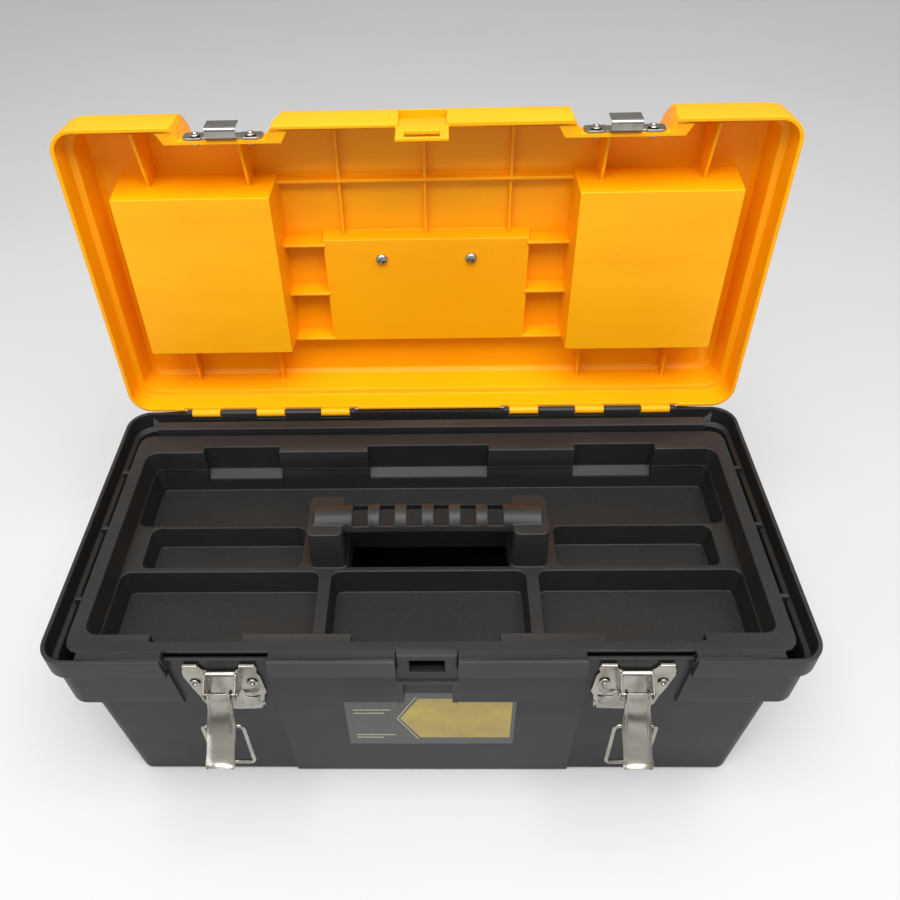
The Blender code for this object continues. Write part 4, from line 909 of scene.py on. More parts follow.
def lid_latch_notches(bm, side):
    """Notches that let the strike plates stand inside the lid's outline, ramped back at the top."""
    centre_x = side * STRIKE_X
    outer_y = lid_y(215.0)
    rings = []
    levels = ((STRIKE_V, -5.0, 25.0, 33.0), (STRIKE_V, 11.0, 25.0, 33.0), (186.0, 44.0, 27.0, 35.0))
    for floor_v, w, floor_half, outer_half in levels:
        floor_y, z = lid_y(floor_v), lid_z(w)
        rings.append([(centre_x - floor_half, floor_y, z), (centre_x - outer_half, outer_y, z),
                      (centre_x + outer_half, outer_y, z), (centre_x + floor_half, floor_y, z)])
    loft(bm, rings)


def lid_padlock_tab(bm):
    box(bm, (-15.0, lid_y(PAD_LOCK_V), lid_z(-16.0)), (15.0, lid_y(PAD_LOCK_V - 2.4), lid_z(16.0)))


def lid_padlock_notch(bm):
    """A dip in the front band that a padlock hangs in."""
    outline = [(lid_y(215.0), lid_z(-25.0)), (lid_y(PAD_LOCK_V), lid_z(-25.0)),
               (lid_y(PAD_LOCK_V), lid_z(12.0)), (lid_y(200.0), lid_z(26.0)), (lid_y(215.0), lid_z(26.0))]
    prism_x(bm, outline, -13.8, 13.8)


def lid_padlock_slot(bm):
    box(bm, (-LUG_SLOT_HALF_X, lid_y(212.0), lid_z(-14.0)), (LUG_SLOT_HALF_X, lid_y(200.0), lid_z(-5.5)))


def lid_hinge_barrel(bm, side):
    """The lid's half of a hinge before it is divided into ears."""
    x0, x1 = span(side, HINGE_START_X - 1.5, hinge_end_x() + 1.5)
    prism_x(bm, circle((HINGE_Y, HINGE_Z), HINGE_RADIUS), x0, x1)


def lid_ear_gaps(bm, side):
    """Room between the lid's ears for the tub's ears."""
    edges = [HINGE_START_X - 6.0]
    for start in lid_ear_starts():
        edges += [start, start + LID_EAR_WIDTH]
    edges.append(hinge_end_x() + 6.0)
    for low, high in zip(edges[::2], edges[1::2]):
        x0, x1 = span(side, low, high)
        box(bm, (x0, 99.0, HINGE_Z - HINGE_RADIUS - 1.0), (x1, 107.5, HINGE_Z + HINGE_RADIUS + 0.4))


def lid_cover_lugs(bm, side):
    """Two lugs beside each organiser box that hold the cover's hinge stubs."""
    for v_low in (75.4, 130.1):
        x0, x1 = span(side, COVER_HINGE_X - 3.0, COVER_HINGE_X + 3.0)
        y0, y1 = v_span(v_low, v_low + 2.5)
        box(bm, (x0, y0, lid_z(36.6)), (x1, y1, lid_z(COVER_HINGE_W + 2.6)))


def lid_cover_lug_holes(bm, side):
    y0, y1 = v_span(72.0, 136.0)
    prism_y(bm, circle((side * COVER_HINGE_X, lid_z(COVER_HINGE_W)), 1.5, 12), y0, y1)


def lid_small_holes(bm):
    """Holes for the handle screws and for the strike rivets."""
    for side in (1.0, -1.0):
        screw = circle((side * HANDLE_SCREW_X, lid_y(HANDLE_V)), 2.1, 12)
        prism_z(bm, screw, lid_z(20.0), lid_z(30.0))
        for x in (-STRIKE_RIVET_X, STRIKE_RIVET_X):
            rivet = circle((side * STRIKE_X + x, lid_z(STRIKE_RIVET_W)), 1.8, 12)
            prism_y(bm, rivet, lid_y(203.0), lid_y(192.0))


def build_lid(finish):
    lid = make("lid_moulding", lid_shell, finish)
    carve(lid, "lid_add_boxes", "UNION", both_sides(lid_box_shells))
    carve(lid, "lid_add_pad", "UNION", lid_pad_shell)
    carve(lid, "lid_add_cross_ribs", "UNION", lid_cross_ribs)
    carve(lid, "lid_add_long_rib", "UNION", lid_long_rib)
    carve(lid, "lid_add_front_ribs", "UNION", lid_front_ribs)
    carve(lid, "lid_add_gussets", "UNION", both_sides(lid_box_gussets))
    carve(lid, "lid_add_notch_backs", "UNION", both_sides(lid_notch_backs))
    carve(lid, "lid_add_tab", "UNION", lid_padlock_tab)
    carve(lid, "lid_add_barrel", "UNION", both_sides(lid_hinge_barrel))
    carve(lid, "lid_add_lugs", "UNION", both_sides(lid_cover_lugs))
    carve(lid, "lid_cut_boxes", "DIFFERENCE", both_sides(lid_box_cavities))
    carve(lid, "lid_cut_pad", "DIFFERENCE", lid_pad_cavity)
    carve(lid, "lid_cut_notches", "DIFFERENCE", both_sides(lid_latch_notches))
    carve(lid, "lid_cut_centre_notch", "DIFFERENCE", lid_padlock_notch)
    carve(lid, "lid_cut_tab_slot", "DIFFERENCE", lid_padlock_slot)
    carve(lid, "lid_cut_ear_gaps", "DIFFERENCE", both_sides(lid_ear_gaps))
    carve(lid, "lid_cut_pin", "DIFFERENCE",
          hinge_barrel(HINGE_START_X - 3.0, hinge_end_x() + 3.0, PIN_HOLE_RADIUS))
    carve(lid, "lid_cut_lug_holes", "DIFFERENCE", both_sides(lid_cover_lug_holes))
    carve(lid, "lid_cut_small_holes", "DIFFERENCE", lid_small_holes)


# ---------------------------------------------------------------- latches

def smooth_path(points, steps):
    """Points along a Catmull-Rom curve through tuples of equal length."""
    result = []
    last = len(points) - 1
    for index in range(last):
        p0, p1 = points[max(index - 1, 0)], points[index]
        p2, p3 = points[index + 1], points[min(index + 2, last)]
        for step in range(steps):
            t = step / steps
            row = []
            for a, b, c, d in zip(p0, p1, p2, p3):
                row.append(0.5 * (2 * b + (c - a) * t + (2 * a - 5 * b + 4 * c - d) * t * t
                                  + (3 * b - a - 3 * c + d) * t ** 3))
            result.append(tuple(row))
    result.append(points[-1])
    return result


LEVER_PATH = ((-111.7, 140.6, 6.2), (-112.6, 138.0, 6.8), (-113.9, 135.2, 7.0), (-116.4, 129.2, 7.3),
              (-119.8, 123.8, 8.2), (-124.4, 119.2, 8.3), (-130.0, 114.6, 8.0), (-134.2, 111.2, 8.1),
              (-136.8, 109.5, 8.4), (-138.8, 109.1, 7.4))


def lever_strip(bm, centre_x):
    """The lever's crowned sheet: its long edges roll back and its tip flares out."""
    stations = smooth_path(LEVER_PATH, 4)
    across = 8
    rings = []
    for index, (y, z, half) in enumerate(stations):
        before = stations[max(index - 1, 0)]
        after = stations[min(index + 1, len(stations) - 1)]
        way = Vector((after[0] - before[0], after[1] - before[1])).normalized()
        normal = Vector((way.y, -way.x))
        share = index / (len(stations) - 1)
        crown = 0.9 + 0.8 * math.exp(-((share - 0.93) / 0.08) ** 2)
        front, back = [], []
        for step in range(across + 1):
            u = 2.0 * step / across - 1.0
            sink = crown * abs(u) ** 3.0
            taper = 1.0 - 0.03 * (1.0 - share)
            for side, offset in ((front, 0.0), (back, LATCH_STEEL - 0.15)):
                depth = sink + offset
                side.append((centre_x + u * half * taper, y - normal.x * depth, z - normal.y * depth))
        rings.append(front + list(reversed(back)))
    loft(bm, rings)


def lever_sides(bm, centre_x):
    """The folded side walls that carry the pin and the wire."""
    pivot_y, pivot_z = LEVER_PIVOT
    bail_y, bail_z = BAIL_PIVOT
    rounded = []
    for index in range(7):
        angle = math.radians(-70.0 + 25.0 * index)
        rounded.append((pivot_y + 2.9 * math.cos(angle), pivot_z + 2.9 * math.sin(angle)))
    outline = rounded + [(-112.3, 139.6), (-114.0, 134.9), (-116.5, 128.9), (-119.9, 123.5),
                         (-124.2, 119.3), (bail_y - 2.6, bail_z - 2.2), (bail_y - 0.6, bail_z - 2.9),
                         (bail_y + 2.4, bail_z - 1.7)]
    for x in (-6.4, 5.4):
        prism_x(bm, outline, centre_x + x, centre_x + x + 1.0)


def build_lever(name, side, chrome):
    centre_x = side * LATCH_X
    lever = make(f"lever_pressing_{name}", lambda bm: lever_strip(bm, centre_x), chrome)
    carve(lever, "lever_sides", "UNION", lambda bm: lever_sides(bm, centre_x))

    def holes(bm):
        prism_x(bm, circle(LEVER_PIVOT, 1.5, 20), centre_x - 9.0, centre_x + 9.0)
        prism_x(bm, circle(BAIL_PIVOT, 1.5, 20), centre_x - 9.0, centre_x + 9.0)

    carve(lever, "lever_holes", "DIFFERENCE", holes)
    soften(lever, 0.25, 38.0)
    settle(lever, f"lever_{name}", [f"latch_lever_{name}"])


PLATE_OUTLINE = ((-19.9, 150.4), (-11.6, 150.4), (-10.6, 147.6), (-8.6, 145.6), (-6.6, 145.0), (6.6, 145.0),
                 (8.6, 145.6), (10.6, 147.6), (11.6, 150.4), (20.4, 150.4), (20.9, 147.0), (20.0, 143.5),
                 (21.6, 139.0), (22.4, 128.0), (23.0, 124.0), (21.2, 119.0), (20.2, 112.0), (17.4, 104.4),
                 (3.6, 103.8), (-6.0, 105.0), (-13.6, 107.4), (-15.2, 110.0), (-16.4, 117.0), (-19.6, 128.0),
                 (-22.2, 140.0), (-21.8, 145.0))


def latch_plate(bm, side):
    back_y = POCKET_FACE_Y - GAP
    outline = [(side * (LATCH_X - x), z) for x, z in PLATE_OUTLINE]
    prism_y(bm, outline, back_y - LATCH_STEEL, back_y)


def latch_lips(bm, side):
    """The two top tabs, folded forward with a round bend."""
    back_y = POCKET_FACE_Y - GAP
    for low, high in ((-19.9, -11.6), (11.6, 20.4)):
        x0, x1 = sorted((side * (LATCH_X - low), side * (LATCH_X - high)))
        bend = [(back_y, 149.6)]
        for index in range(6):
            angle = math.radians(18.0 * index)
            bend.append((back_y - 1.7 + 1.7 * math.cos(angle), 150.9 + 1.7 * math.sin(angle)))
        bend += [(back_y - 2.8, 152.4), (back_y - 2.9, 151.3), (back_y - 1.7, 151.2)]
        bend += [(back_y - LATCH_STEEL, 150.4), (back_y - LATCH_STEEL, 149.6)]
        prism_x(bm, bend, x0, x1)


def latch_yoke(bm, side):
    """The raised channel in the middle that the lever turns in."""
    back_y = POCKET_FACE_Y - GAP
    pivot_y, pivot_z = LEVER_PIVOT
    centre_x = side * LATCH_X
    cheek = [(back_y - 0.5, 126.5), (back_y - 0.5, 144.6), (back_y - 3.4, 145.0)]
    for index in range(9):
        angle = math.radians(100.0 + 22.0 * index)
        cheek.append((pivot_y + 3.4 * math.cos(angle), pivot_z + 0.4 + 3.6 * math.sin(angle)))
    for x in (-9.3, 8.1):
        prism_x(bm, cheek, centre_x + x, centre_x + x + 1.2)


def latch_saddle(bm, side):
    """The rolled top edge between the tabs."""
    back_y = POCKET_FACE_Y - GAP
    centre_x = side * LATCH_X
    roll = [(back_y - 0.4, 142.4)]
    for index in range(8):
        angle = math.radians(10.0 + 22.0 * index)
        roll.append((back_y - 1.9 + 1.8 * math.cos(angle), 144.2 + 1.5 * math.sin(angle)))
    roll += [(back_y - 3.7, 143.2), (back_y - 2.6, 143.0), (back_y - 1.3, 142.0)]
    prism_x(bm, roll, centre_x - 8.2, centre_x + 8.2)


def latch_emboss(bm, side):
    """The boxed-out inner wing below its rivet."""
    back_y = POCKET_FACE_Y - GAP
    lower = ((8.0, 21.0), (105.6, 126.2), back_y - LATCH_STEEL + 0.2)
    upper = ((10.6, 19.6), (108.2, 124.6), back_y - LATCH_STEEL - 1.3)
    rings = []
    for (x0, x1), (z0, z1), y in (lower, upper):
        corners = ((x0, z0 + 1.0), (x0 + 1.0, z0), (x1 - 3.6, z0), (x1 - 0.6, z0 + 6.0), (x1, z1 - 3.0),
                   (x1 - 1.6, z1), (x0 + 1.0, z1), (x0, z1 - 1.0))
        rings.append([(side * (LATCH_X - x), y, z) for x, z in corners])
    loft(bm, rings)


def latch_slot(bm, side):
    """A curved slit pressed through the inner wing."""
    back_y = POCKET_FACE_Y - GAP
    top, bottom = [], []
    for index in range(7):
        share = index / 6.0
        x = 9.4 + 9.6 * share
        dip = 0.9 * (1.0 - (2.0 * share - 1.0) ** 2)
        top.append((side * (LATCH_X - x), 121.6 - dip))
        bottom.append((side * (LATCH_X - x), 120.7 - dip * 1.5))
    prism_y(bm, top + list(reversed(bottom)), back_y - 4.0, back_y + 1.0)


def build_latch_plate(name, side, chrome):
    plate = make(f"latch_pressing_{name}", lambda bm: latch_plate(bm, side), chrome)
    carve(plate, "plate_lips", "UNION", lambda bm: latch_lips(bm, side))
    carve(plate, "plate_yoke", "UNION", lambda bm: latch_yoke(bm, side))
    carve(plate, "plate_saddle", "UNION", lambda bm: latch_saddle(bm, side))
    carve(plate, "plate_emboss", "UNION", lambda bm: latch_emboss(bm, side))

    def holes(bm):
        pivot_y, pivot_z = LEVER_PIVOT
        for x, z in LATCH_RIVETS:
            prism_y(bm, circle((side * (LATCH_X - x), z), 1.9, 20), -104.0, -97.0)
        prism_x(bm, circle((pivot_y, pivot_z), 1.5, 20), side * LATCH_X - 11.0, side * LATCH_X + 11.0)

    carve(plate, "plate_slot", "DIFFERENCE", lambda bm: latch_slot(bm, side))
    carve(plate, "plate_holes", "DIFFERENCE", holes)
    soften(plate, 0.28, 38.0)
    settle(plate, "tub_body", [f"latch_plate_{name}"])


def build_eyelet(name, node, centre, head_y, tail_y, body, finish, turned):
    """A hollow rivet: a domed ring in front, a tube and a rolled end behind."""
    profile = ((1.0, tail_y + 0.6), (2.6, tail_y + 0.9), (2.9, tail_y + 0.4), (2.8, tail_y), (1.6, tail_y),
               (1.6, head_y), (3.0, head_y), (3.25, head_y - 0.3), (3.1, head_y - 0.7), (2.6, head_y - 0.95),
               (2.0, head_y - 0.9), (1.55, head_y - 0.55), (1.2, head_y + 0.3), (1.05, head_y + 1.4))
    eyelet = make(name, lambda bm: turned_piece(bm, profile, centre, "Y"), finish)
    settle(eyelet, body, [node], turned, 50.0)


def wire_loop(centre_x):
    """The bail's centre line, in through one side of the lever and out of the other."""
    pivot_y, pivot_z = BAIL_PIVOT
    radius = 3.2
    reach = BAIL_HALF_X - radius
    low_z = radius - BAIL_LENGTH
    corners = ((-reach, -radius, 90.0), (-reach, low_z, 180.0), (reach, low_z, 270.0), (reach, -radius, 0.0))
    points = [(-5.2, 0.0)]
    for x, z, start in corners:
        for step in range(9):
            angle = math.radians(start + 90.0 * step / 8)
            points.append((x + radius * math.cos(angle), z + radius * math.sin(angle)))
    points.append((5.2, 0.0))
    return [Vector((centre_x + x, pivot_y, pivot_z + z)) for x, z in points]


def sweep(bm, points, radius, sides=18):
    """A round wire through points, capped flat at both ends."""
    rings = []
    last = len(points) - 1
    for index, point in enumerate(points):
        direction = (points[min(index + 1, last)] - points[max(index - 1, 0)]).normalized()
        across = Vector((0.0, 1.0, 0.0))
        upward = direction.cross(across).normalized()
        ring = []
        for side in range(sides):
            angle = 2 * math.pi * (side + 0.5) / sides
            ring.append(point + across * radius * math.cos(angle) + upward * radius * math.sin(angle))
        rings.append(ring)
    loft(bm, rings)


def build_bail(name, side, chrome):
    bail = make(f"wire_bail_{name}", lambda bm: sweep(bm, wire_loop(side * LATCH_X), WIRE_RADIUS), chrome)
    soften(bail, 0.3, 60.0)
    settle(bail, f"bail_{name}", [f"latch_bail_{name}"], smooth=60.0)


def build_lever_pin(name, side, steel):
    """A headed pin with domed ends through the lever and the plate's cheeks."""
    centre_x = side * LATCH_X
    profile = []
    for position, radius in ((-10.4, 0.9), (-10.25, 1.5), (-9.9, 1.9), (-9.6, 2.0), (-9.6, 1.2),
                             (9.6, 1.2), (9.6, 2.0), (9.9, 1.9), (10.25, 1.5), (10.4, 0.9)):
        profile.append((radius, centre_x + position))
    pin = make(f"lever_axle_{name}", lambda bm: turned_piece(bm, profile, LEVER_PIVOT, "X"), steel)
    settle(pin, "tub_body", [f"lever_pin_{name}"], smooth=35.0)


# ---------------------------------------------------------------- strikes

def strike_hook(bm, centre_x):
    """The hook in (y, z): down from the plate, round and up in front of it."""
    steel = LATCH_STEEL
    inner_v = STRIKE_V + GAP
    outer_v = 207.5
    outside, inside = [(inner_v, 6.0)], [(inner_v + steel, 6.0)]
    bend = 2.2
    for index in range(7):
        angle = math.radians(15.0 * index)
        outside.append((inner_v + bend - bend * math.cos(angle), 0.8 - bend * math.sin(angle)))
        inner_bend = bend - steel
        inside.append((inner_v + bend - inner_bend * math.cos(angle), 0.8 - inner_bend * math.sin(angle)))
    for index in range(7):
        angle = math.radians(15.0 * index)
        outside.append((outer_v - bend + bend * math.sin(angle), 0.8 - bend * math.cos(angle)))
        inner_bend = bend - steel
        inside.append((outer_v - bend + inner_bend * math.sin(angle), 0.8 - inner_bend * math.cos(angle)))
    outside.append((outer_v, 10.5))
    inside.append((outer_v - steel, 10.5))
    outline = [(lid_y(v), lid_z(w)) for v, w in outside + list(reversed(inside))]
    prism_x(bm, outline, centre_x - 9.0, centre_x + 9.0)


def strike_plate(bm, centre_x):
    y0, y1 = lid_y(STRIKE_V + GAP + LATCH_STEEL), lid_y(STRIKE_V + GAP)
    outline = []
    for sign in (1.0, -1.0):
        half = [(8.0, 1.6), (11.4, 1.6), (12.2, 0.5), (20.8, 0.5), (22.2, 1.6), (23.2, 3.0), (23.2, 8.2),
                (21.8, 9.9), (11.0, 9.9), (9.6, 9.0), (8.0, 9.0)]
        ordered = half if sign > 0 else list(reversed(half))
        outline += [(centre_x + sign * x, lid_z(w)) for x, w in ordered]
    prism_y(bm, outline, y0, y1)


def build_strike(name, side, chrome):
    centre_x = side * STRIKE_X
    strike = make(f"strike_pressing_{name}", lambda bm: strike_plate(bm, centre_x), chrome)
    carve(strike, "strike_hook", "UNION", lambda bm: strike_hook(bm, centre_x))

    def holes(bm):
        for x in (-STRIKE_RIVET_X, STRIKE_RIVET_X):
            prism_y(bm, circle((centre_x + x, lid_z(STRIKE_RIVET_W)), 1.8, 20), -100.0, -95.0)

    carve(strike, "strike_holes", "DIFFERENCE", holes)
    soften(strike, 0.28, 38.0)
    settle(strike, "lid", [f"strike_plate_{name}"], True)
    head_y = lid_y(STRIKE_V + GAP + LATCH_STEEL + GAP)
    tail_y = lid_y(STRIKE_V - WALL - GAP)
    for index, x in enumerate((-STRIKE_RIVET_X, STRIKE_RIVET_X)):
        number = f"{name}_{index + 1}"
        build_eyelet(f"strike_eyelet_{number}", f"strike_rivet_{number}",
                     (centre_x + x, lid_z(STRIKE_RIVET_W)), head_y, tail_y, "lid", chrome, True)


# ---------------------------------------------------------------- lid fittings

def build_hinge_pin(name, side, steel):
    x0, x1 = span(side, HINGE_START_X - 3.8, hinge_end_x() + 3.8)
    profile = ((0.7, x0), (PIN_RADIUS, x0 + 0.4), (PIN_RADIUS, x1 - 0.4), (0.7, x1))
    pin = make(f"hinge_wire_{name}", lambda bm: turned_piece(bm, profile, (HINGE_Y, HINGE_Z), "X", 20), steel)
    settle(pin, "tub_body", [f"hinge_pin_{name}"], smooth=35.0)


def build_handle_screw(name, side, steel):
    """A pan-head screw with a crossed recess, facing into the lid."""
    centre = (side * HANDLE_SCREW_X, lid_y(HANDLE_V))
    under = lid_z(PAD_FACE_W - GAP)
    tip = lid_z(PAD_FACE_W + 2.0 + GAP) + 2.2
    profile = ((0.8, under - 2.35), (2.0, under - 2.2), (3.1, under - 1.7), (3.75, under - 1.0),
               (3.9, under - 0.3), (3.7, under), (1.7, under), (1.7, tip - 0.4), (1.2, tip))
    screw = make(f"cross_screw_{name}", lambda bm: turned_piece(bm, profile, centre, "Z"), steel)

    def slot_across(bm, angle):
        """One of the two tapered slots that make the cross."""
        rings = []
        for z, reach, half in ((under - 3.0, 2.5, 0.6), (under - 0.8, 1.5, 0.35)):
            ring = []
            for a, b in ((-reach, -half), (reach, -half), (reach, half), (-reach, half)):
                ring.append((centre[0] + a * math.cos(angle) - b * math.sin(angle),
                             centre[1] + a * math.sin(angle) + b * math.cos(angle), z))
            rings.append(ring)
        loft(bm, rings)

    turn = math.radians(20.0)
    carve(screw, "screw_slot_long", "DIFFERENCE", lambda bm: slot_across(bm, turn))
    carve(screw, "screw_slot_cross", "DIFFERENCE", lambda bm: slot_across(bm, turn + math.pi / 2))
    settle(screw, "lid", [f"handle_screw_{name}"], True, 35.0)


def build_cover(name, side, smoke):
    """A flat cover with a sunken middle inside a raised border, a locating lip and a hinge roll."""
    y_span = v_span(BOX_V[0] - 4.0, BOX_V[1] + 5.0)
    z0 = lid_z(LID_DEPTH + GAP)

    def plate(bm):
        x_span = span(side, BOX_X[0] - 3.4, BOX_X[1] + 0.9)
        loft(bm, [rect_ring(x_span, y_span, 4.0, z0, 6), rect_ring(x_span, y_span, 4.0, z0 + COVER_THICK, 6)])

    def lip(bm):
        x_span = span(side, BOX_X[0] + 1.4, BOX_X[1] - 3.4)
        lip_y = v_span(BOX_V[0] + 1.6, BOX_V[1] - 1.6)
        low_z = lid_z(LID_DEPTH - 2.0)
        loft(bm, [rect_ring(x_span, lip_y, 3.0, low_z, 6), rect_ring(x_span, lip_y, 3.0, low_z + 3.4, 6)])

    def hollow(bm):
        x0, x1 = span(side, BOX_X[0] + 3.2, BOX_X[1] - 5.2)
        y0, y1 = v_span(BOX_V[0] + 3.4, BOX_V[1] - 3.4)
        box(bm, (x0, y0, lid_z(LID_DEPTH - 4.0)), (x1, y1, lid_z(LID_DEPTH + GAP)))

    def groove(bm):
        """A shallow recess over the cover's face, inside a border left standing."""
        inset = 9.0
        top = z0 + COVER_THICK
        x_span = span(side, BOX_X[0] - 3.4 + inset, BOX_X[1] + 0.9 - inset)
        spans = (x_span, (y_span[0] + inset, y_span[1] - inset))
        loft(bm, [rect_ring(*spans, 5.0, top - 0.6, 6), rect_ring(*spans, 5.0, top + 1.0, 6)])

    def barrel(bm):
        stations = ((132.3, 1.2), (129.7, 1.2), (129.7, 2.1), (78.3, 2.1), (78.3, 1.2), (75.7, 1.2))
        profile = [(radius, lid_y(v)) for v, radius in stations]
        turned_piece(bm, profile, (side * COVER_HINGE_X, lid_z(COVER_HINGE_W)), "Y", 20)

    def neck(bm):
        x0, x1 = span(side, BOX_X[1] + 0.2, COVER_HINGE_X - 0.6)
        y0, y1 = v_span(79.0, 129.0)
        box(bm, (x0, y0, lid_z(39.3)), (x1, y1, lid_z(40.9)))

    def thumb_tab(bm):
        x0, x1 = span(side, BOX_X[0] - 8.6, BOX_X[0] - 2.0)
        spans = ((x0, x1), v_span(93.0, 117.0))
        loft(bm, [rect_ring(*spans, 2.0, lid_z(38.7), 5), rect_ring(*spans, 2.0, lid_z(40.1), 5)])

    cover = make(f"box_cover_{name}", plate, smoke)
    carve(cover, "cover_lip", "UNION", lip)
    carve(cover, "cover_hollow", "DIFFERENCE", hollow)
    carve(cover, "cover_groove", "DIFFERENCE", groove)
    carve(cover, "cover_barrel", "UNION", barrel)
    carve(cover, "cover_neck", "UNION", neck)
    carve(cover, "cover_tab", "UNION", thumb_tab)
    soften(cover, 0.35)
    settle(cover, f"cover_{name}", [f"organiser_cover_{name}"], True)


def build_carry_handle(black, steel):
    pivot = (lid_y(HANDLE_V), lid_z(HANDLE_W))
    plate_z0 = lid_z(PAD_FACE_W + 2.0 + GAP)
    plate_z1 = plate_z0 + 2.6

    def bracket_plate(bm):
        y0, y1 = v_span(HANDLE_V - 6.0, HANDLE_V + 6.0)
        spans = ((-46.6, 46.6), (y0, y1))
        loft(bm, [rect_ring(*spans, 1.6, plate_z0, 4), rect_ring(*spans, 1.6, plate_z1, 4)])

    def bracket_ears(bm, side):
        outline = [(pivot[0] + 5.6, plate_z1 - 0.8)]
        for index in range(9):
            angle = math.radians(10.0 + 20.0 * index)
            outline.append((pivot[0] + 4.0 * math.cos(angle), pivot[1] - 0.2 + 4.0 * math.sin(angle)))
        outline.append((pivot[0] - 5.6, plate_z1 - 0.8))
        prism_x(bm, outline, *span(side, 42.6, 46.4))

    def bracket_holes(bm):
        prism_x(bm, circle(pivot, 2.1, 20), -50.0, 50.0)
        for side in (1.0, -1.0):
            prism_z(bm, circle((side * HANDLE_SCREW_X, pivot[0]), 2.1, 20), plate_z0 - 1.0, plate_z1 + 1.0)

    bracket = make("bracket_moulding", bracket_plate, black)
    carve(bracket, "ears", "UNION", both_sides(bracket_ears))
    carve(bracket, "holes", "DIFFERENCE", bracket_holes)
    soften(bracket, 0.4)
    settle(bracket, "lid", ["handle_bracket"], True)

    profile = ((1.2, -59.4), (1.8, -58.9), (1.8, 58.9), (1.2, 59.4))
    rod = make("handle_axle", lambda bm: turned_piece(bm, profile, pivot, "X"), steel)
    settle(rod, "lid", ["handle_rod"], True, 35.0)

    def grip(bm):
        """A rounded bar with shallow finger waves on its underside."""
        rings = []
        stations = 48
        for index in range(stations + 1):
            x = -61.5 + 123.0 * index / stations
            end = min(1.0, (61.5 - abs(x)) / 6.0)
            scale = 0.72 + 0.28 * math.sqrt(max(0.0, 1.0 - (1.0 - end) ** 2))
            wave = 0.35 * math.cos(2 * math.pi * x / 22.0) * end
            ring = []
            for y, z in circle((0.0, 0.0), 1.0, 28):
                lift = wave if z < 0 else 0.0
                place_y = lid_y(HANDLE_GRIP_V) + (7.9 * y) * scale
                place_z = lid_z(33.6) + (6.4 + lift * -z) * scale * z
                ring.append((x, place_y, place_z))
            rings.append(ring)
        loft(bm, rings)

    def arms(bm, side):
        x0, x1 = span(side, *HANDLE_ARM_X)
        low_z, high_z = lid_z(28.0), lid_z(37.4)
        end_y, near_y = lid_y(HANDLE_V + 3.2), lid_y(HANDLE_V + 1.2)
        grip_y = lid_y(HANDLE_GRIP_V)
        outline = [(end_y, low_z + 1.6), (end_y, high_z - 1.6), (near_y, high_z),
                   (grip_y, high_z), (grip_y, low_z), (near_y, low_z)]
        prism_x(bm, outline, x0, x1)

    def arm_holes(bm):
        prism_x(bm, circle(pivot, 2.1, 20), -63.0, 63.0)

    handle = make("handle_moulding", grip, black)
    carve(handle, "arms", "UNION", both_sides(arms))
    carve(handle, "arm_holes", "DIFFERENCE", arm_holes)
    soften(handle, 0.6)
    settle(handle, "handle", ["carry_handle"], True)


# ---------------------------------------------------------------- label

def panel_face_y(z):
    share = (z - 1.2) / (FLANGE_LOW_Z - 0.2)
    return BODY_FOOT_Y[0] - PANEL_PROUD + share * (BODY_TOP_Y[0] - BODY_FOOT_Y[0])


def sticker(bm, outline, near, far):
    """A flat patch over the front panel between two distances from it."""
    loft(bm, [[(x, panel_face_y(z) - offset, z) for x, z in outline] for offset in (near, far)])


def build_label(dark, yellow, line):
    low, high = 40.2, 105.2
    half = 52.0
    corners = [(-half, low), (half + 1.0, low), (half + 1.0, high), (-half, high)]
    base = make("label_film", lambda bm: sticker(bm, corners, GAP, GAP + 0.35), dark)
    settle(base, "tub_body", ["front_label"])
    arrow = [(-18.5, 74.0), (-6.5, 49.0), (half - 1.5, 49.0), (half - 1.5, 98.5), (-6.5, 98.5)]
    patch = make("label_arrow", lambda bm: sticker(bm, arrow, GAP + 0.3, GAP + 0.42), yellow)
    settle(patch, "tub_body")

    def outlines(bm):
        """A thin line that follows the arrow's point, and plain rules where print would be."""
        steps = (((-8.3, 47.0), (-20.6, 74.0)), ((-20.6, 74.0), (-8.3, 100.5)))
        for (x0, z0), (x1, z1) in steps:
            sticker(bm, [(x0, z0), (x0 + 0.9, z0), (x1 + 0.9, z1), (x1, z1)], GAP + 0.3, GAP + 0.41)
        left_x = -47.0
        for right_x, z in ((-24.0, 84.0), (-28.0, 80.0), (-22.0, 52.0), (-30.0, 48.5)):
            rule = [(left_x, z), (right_x, z), (right_x, z + 1.3), (left_x, z + 1.3)]
            sticker(bm, rule, GAP + 0.3, GAP + 0.41)

    rules = make("label_rules", outlines, line)
    settle(rules, "tub_body")


# ---------------------------------------------------------------- studio

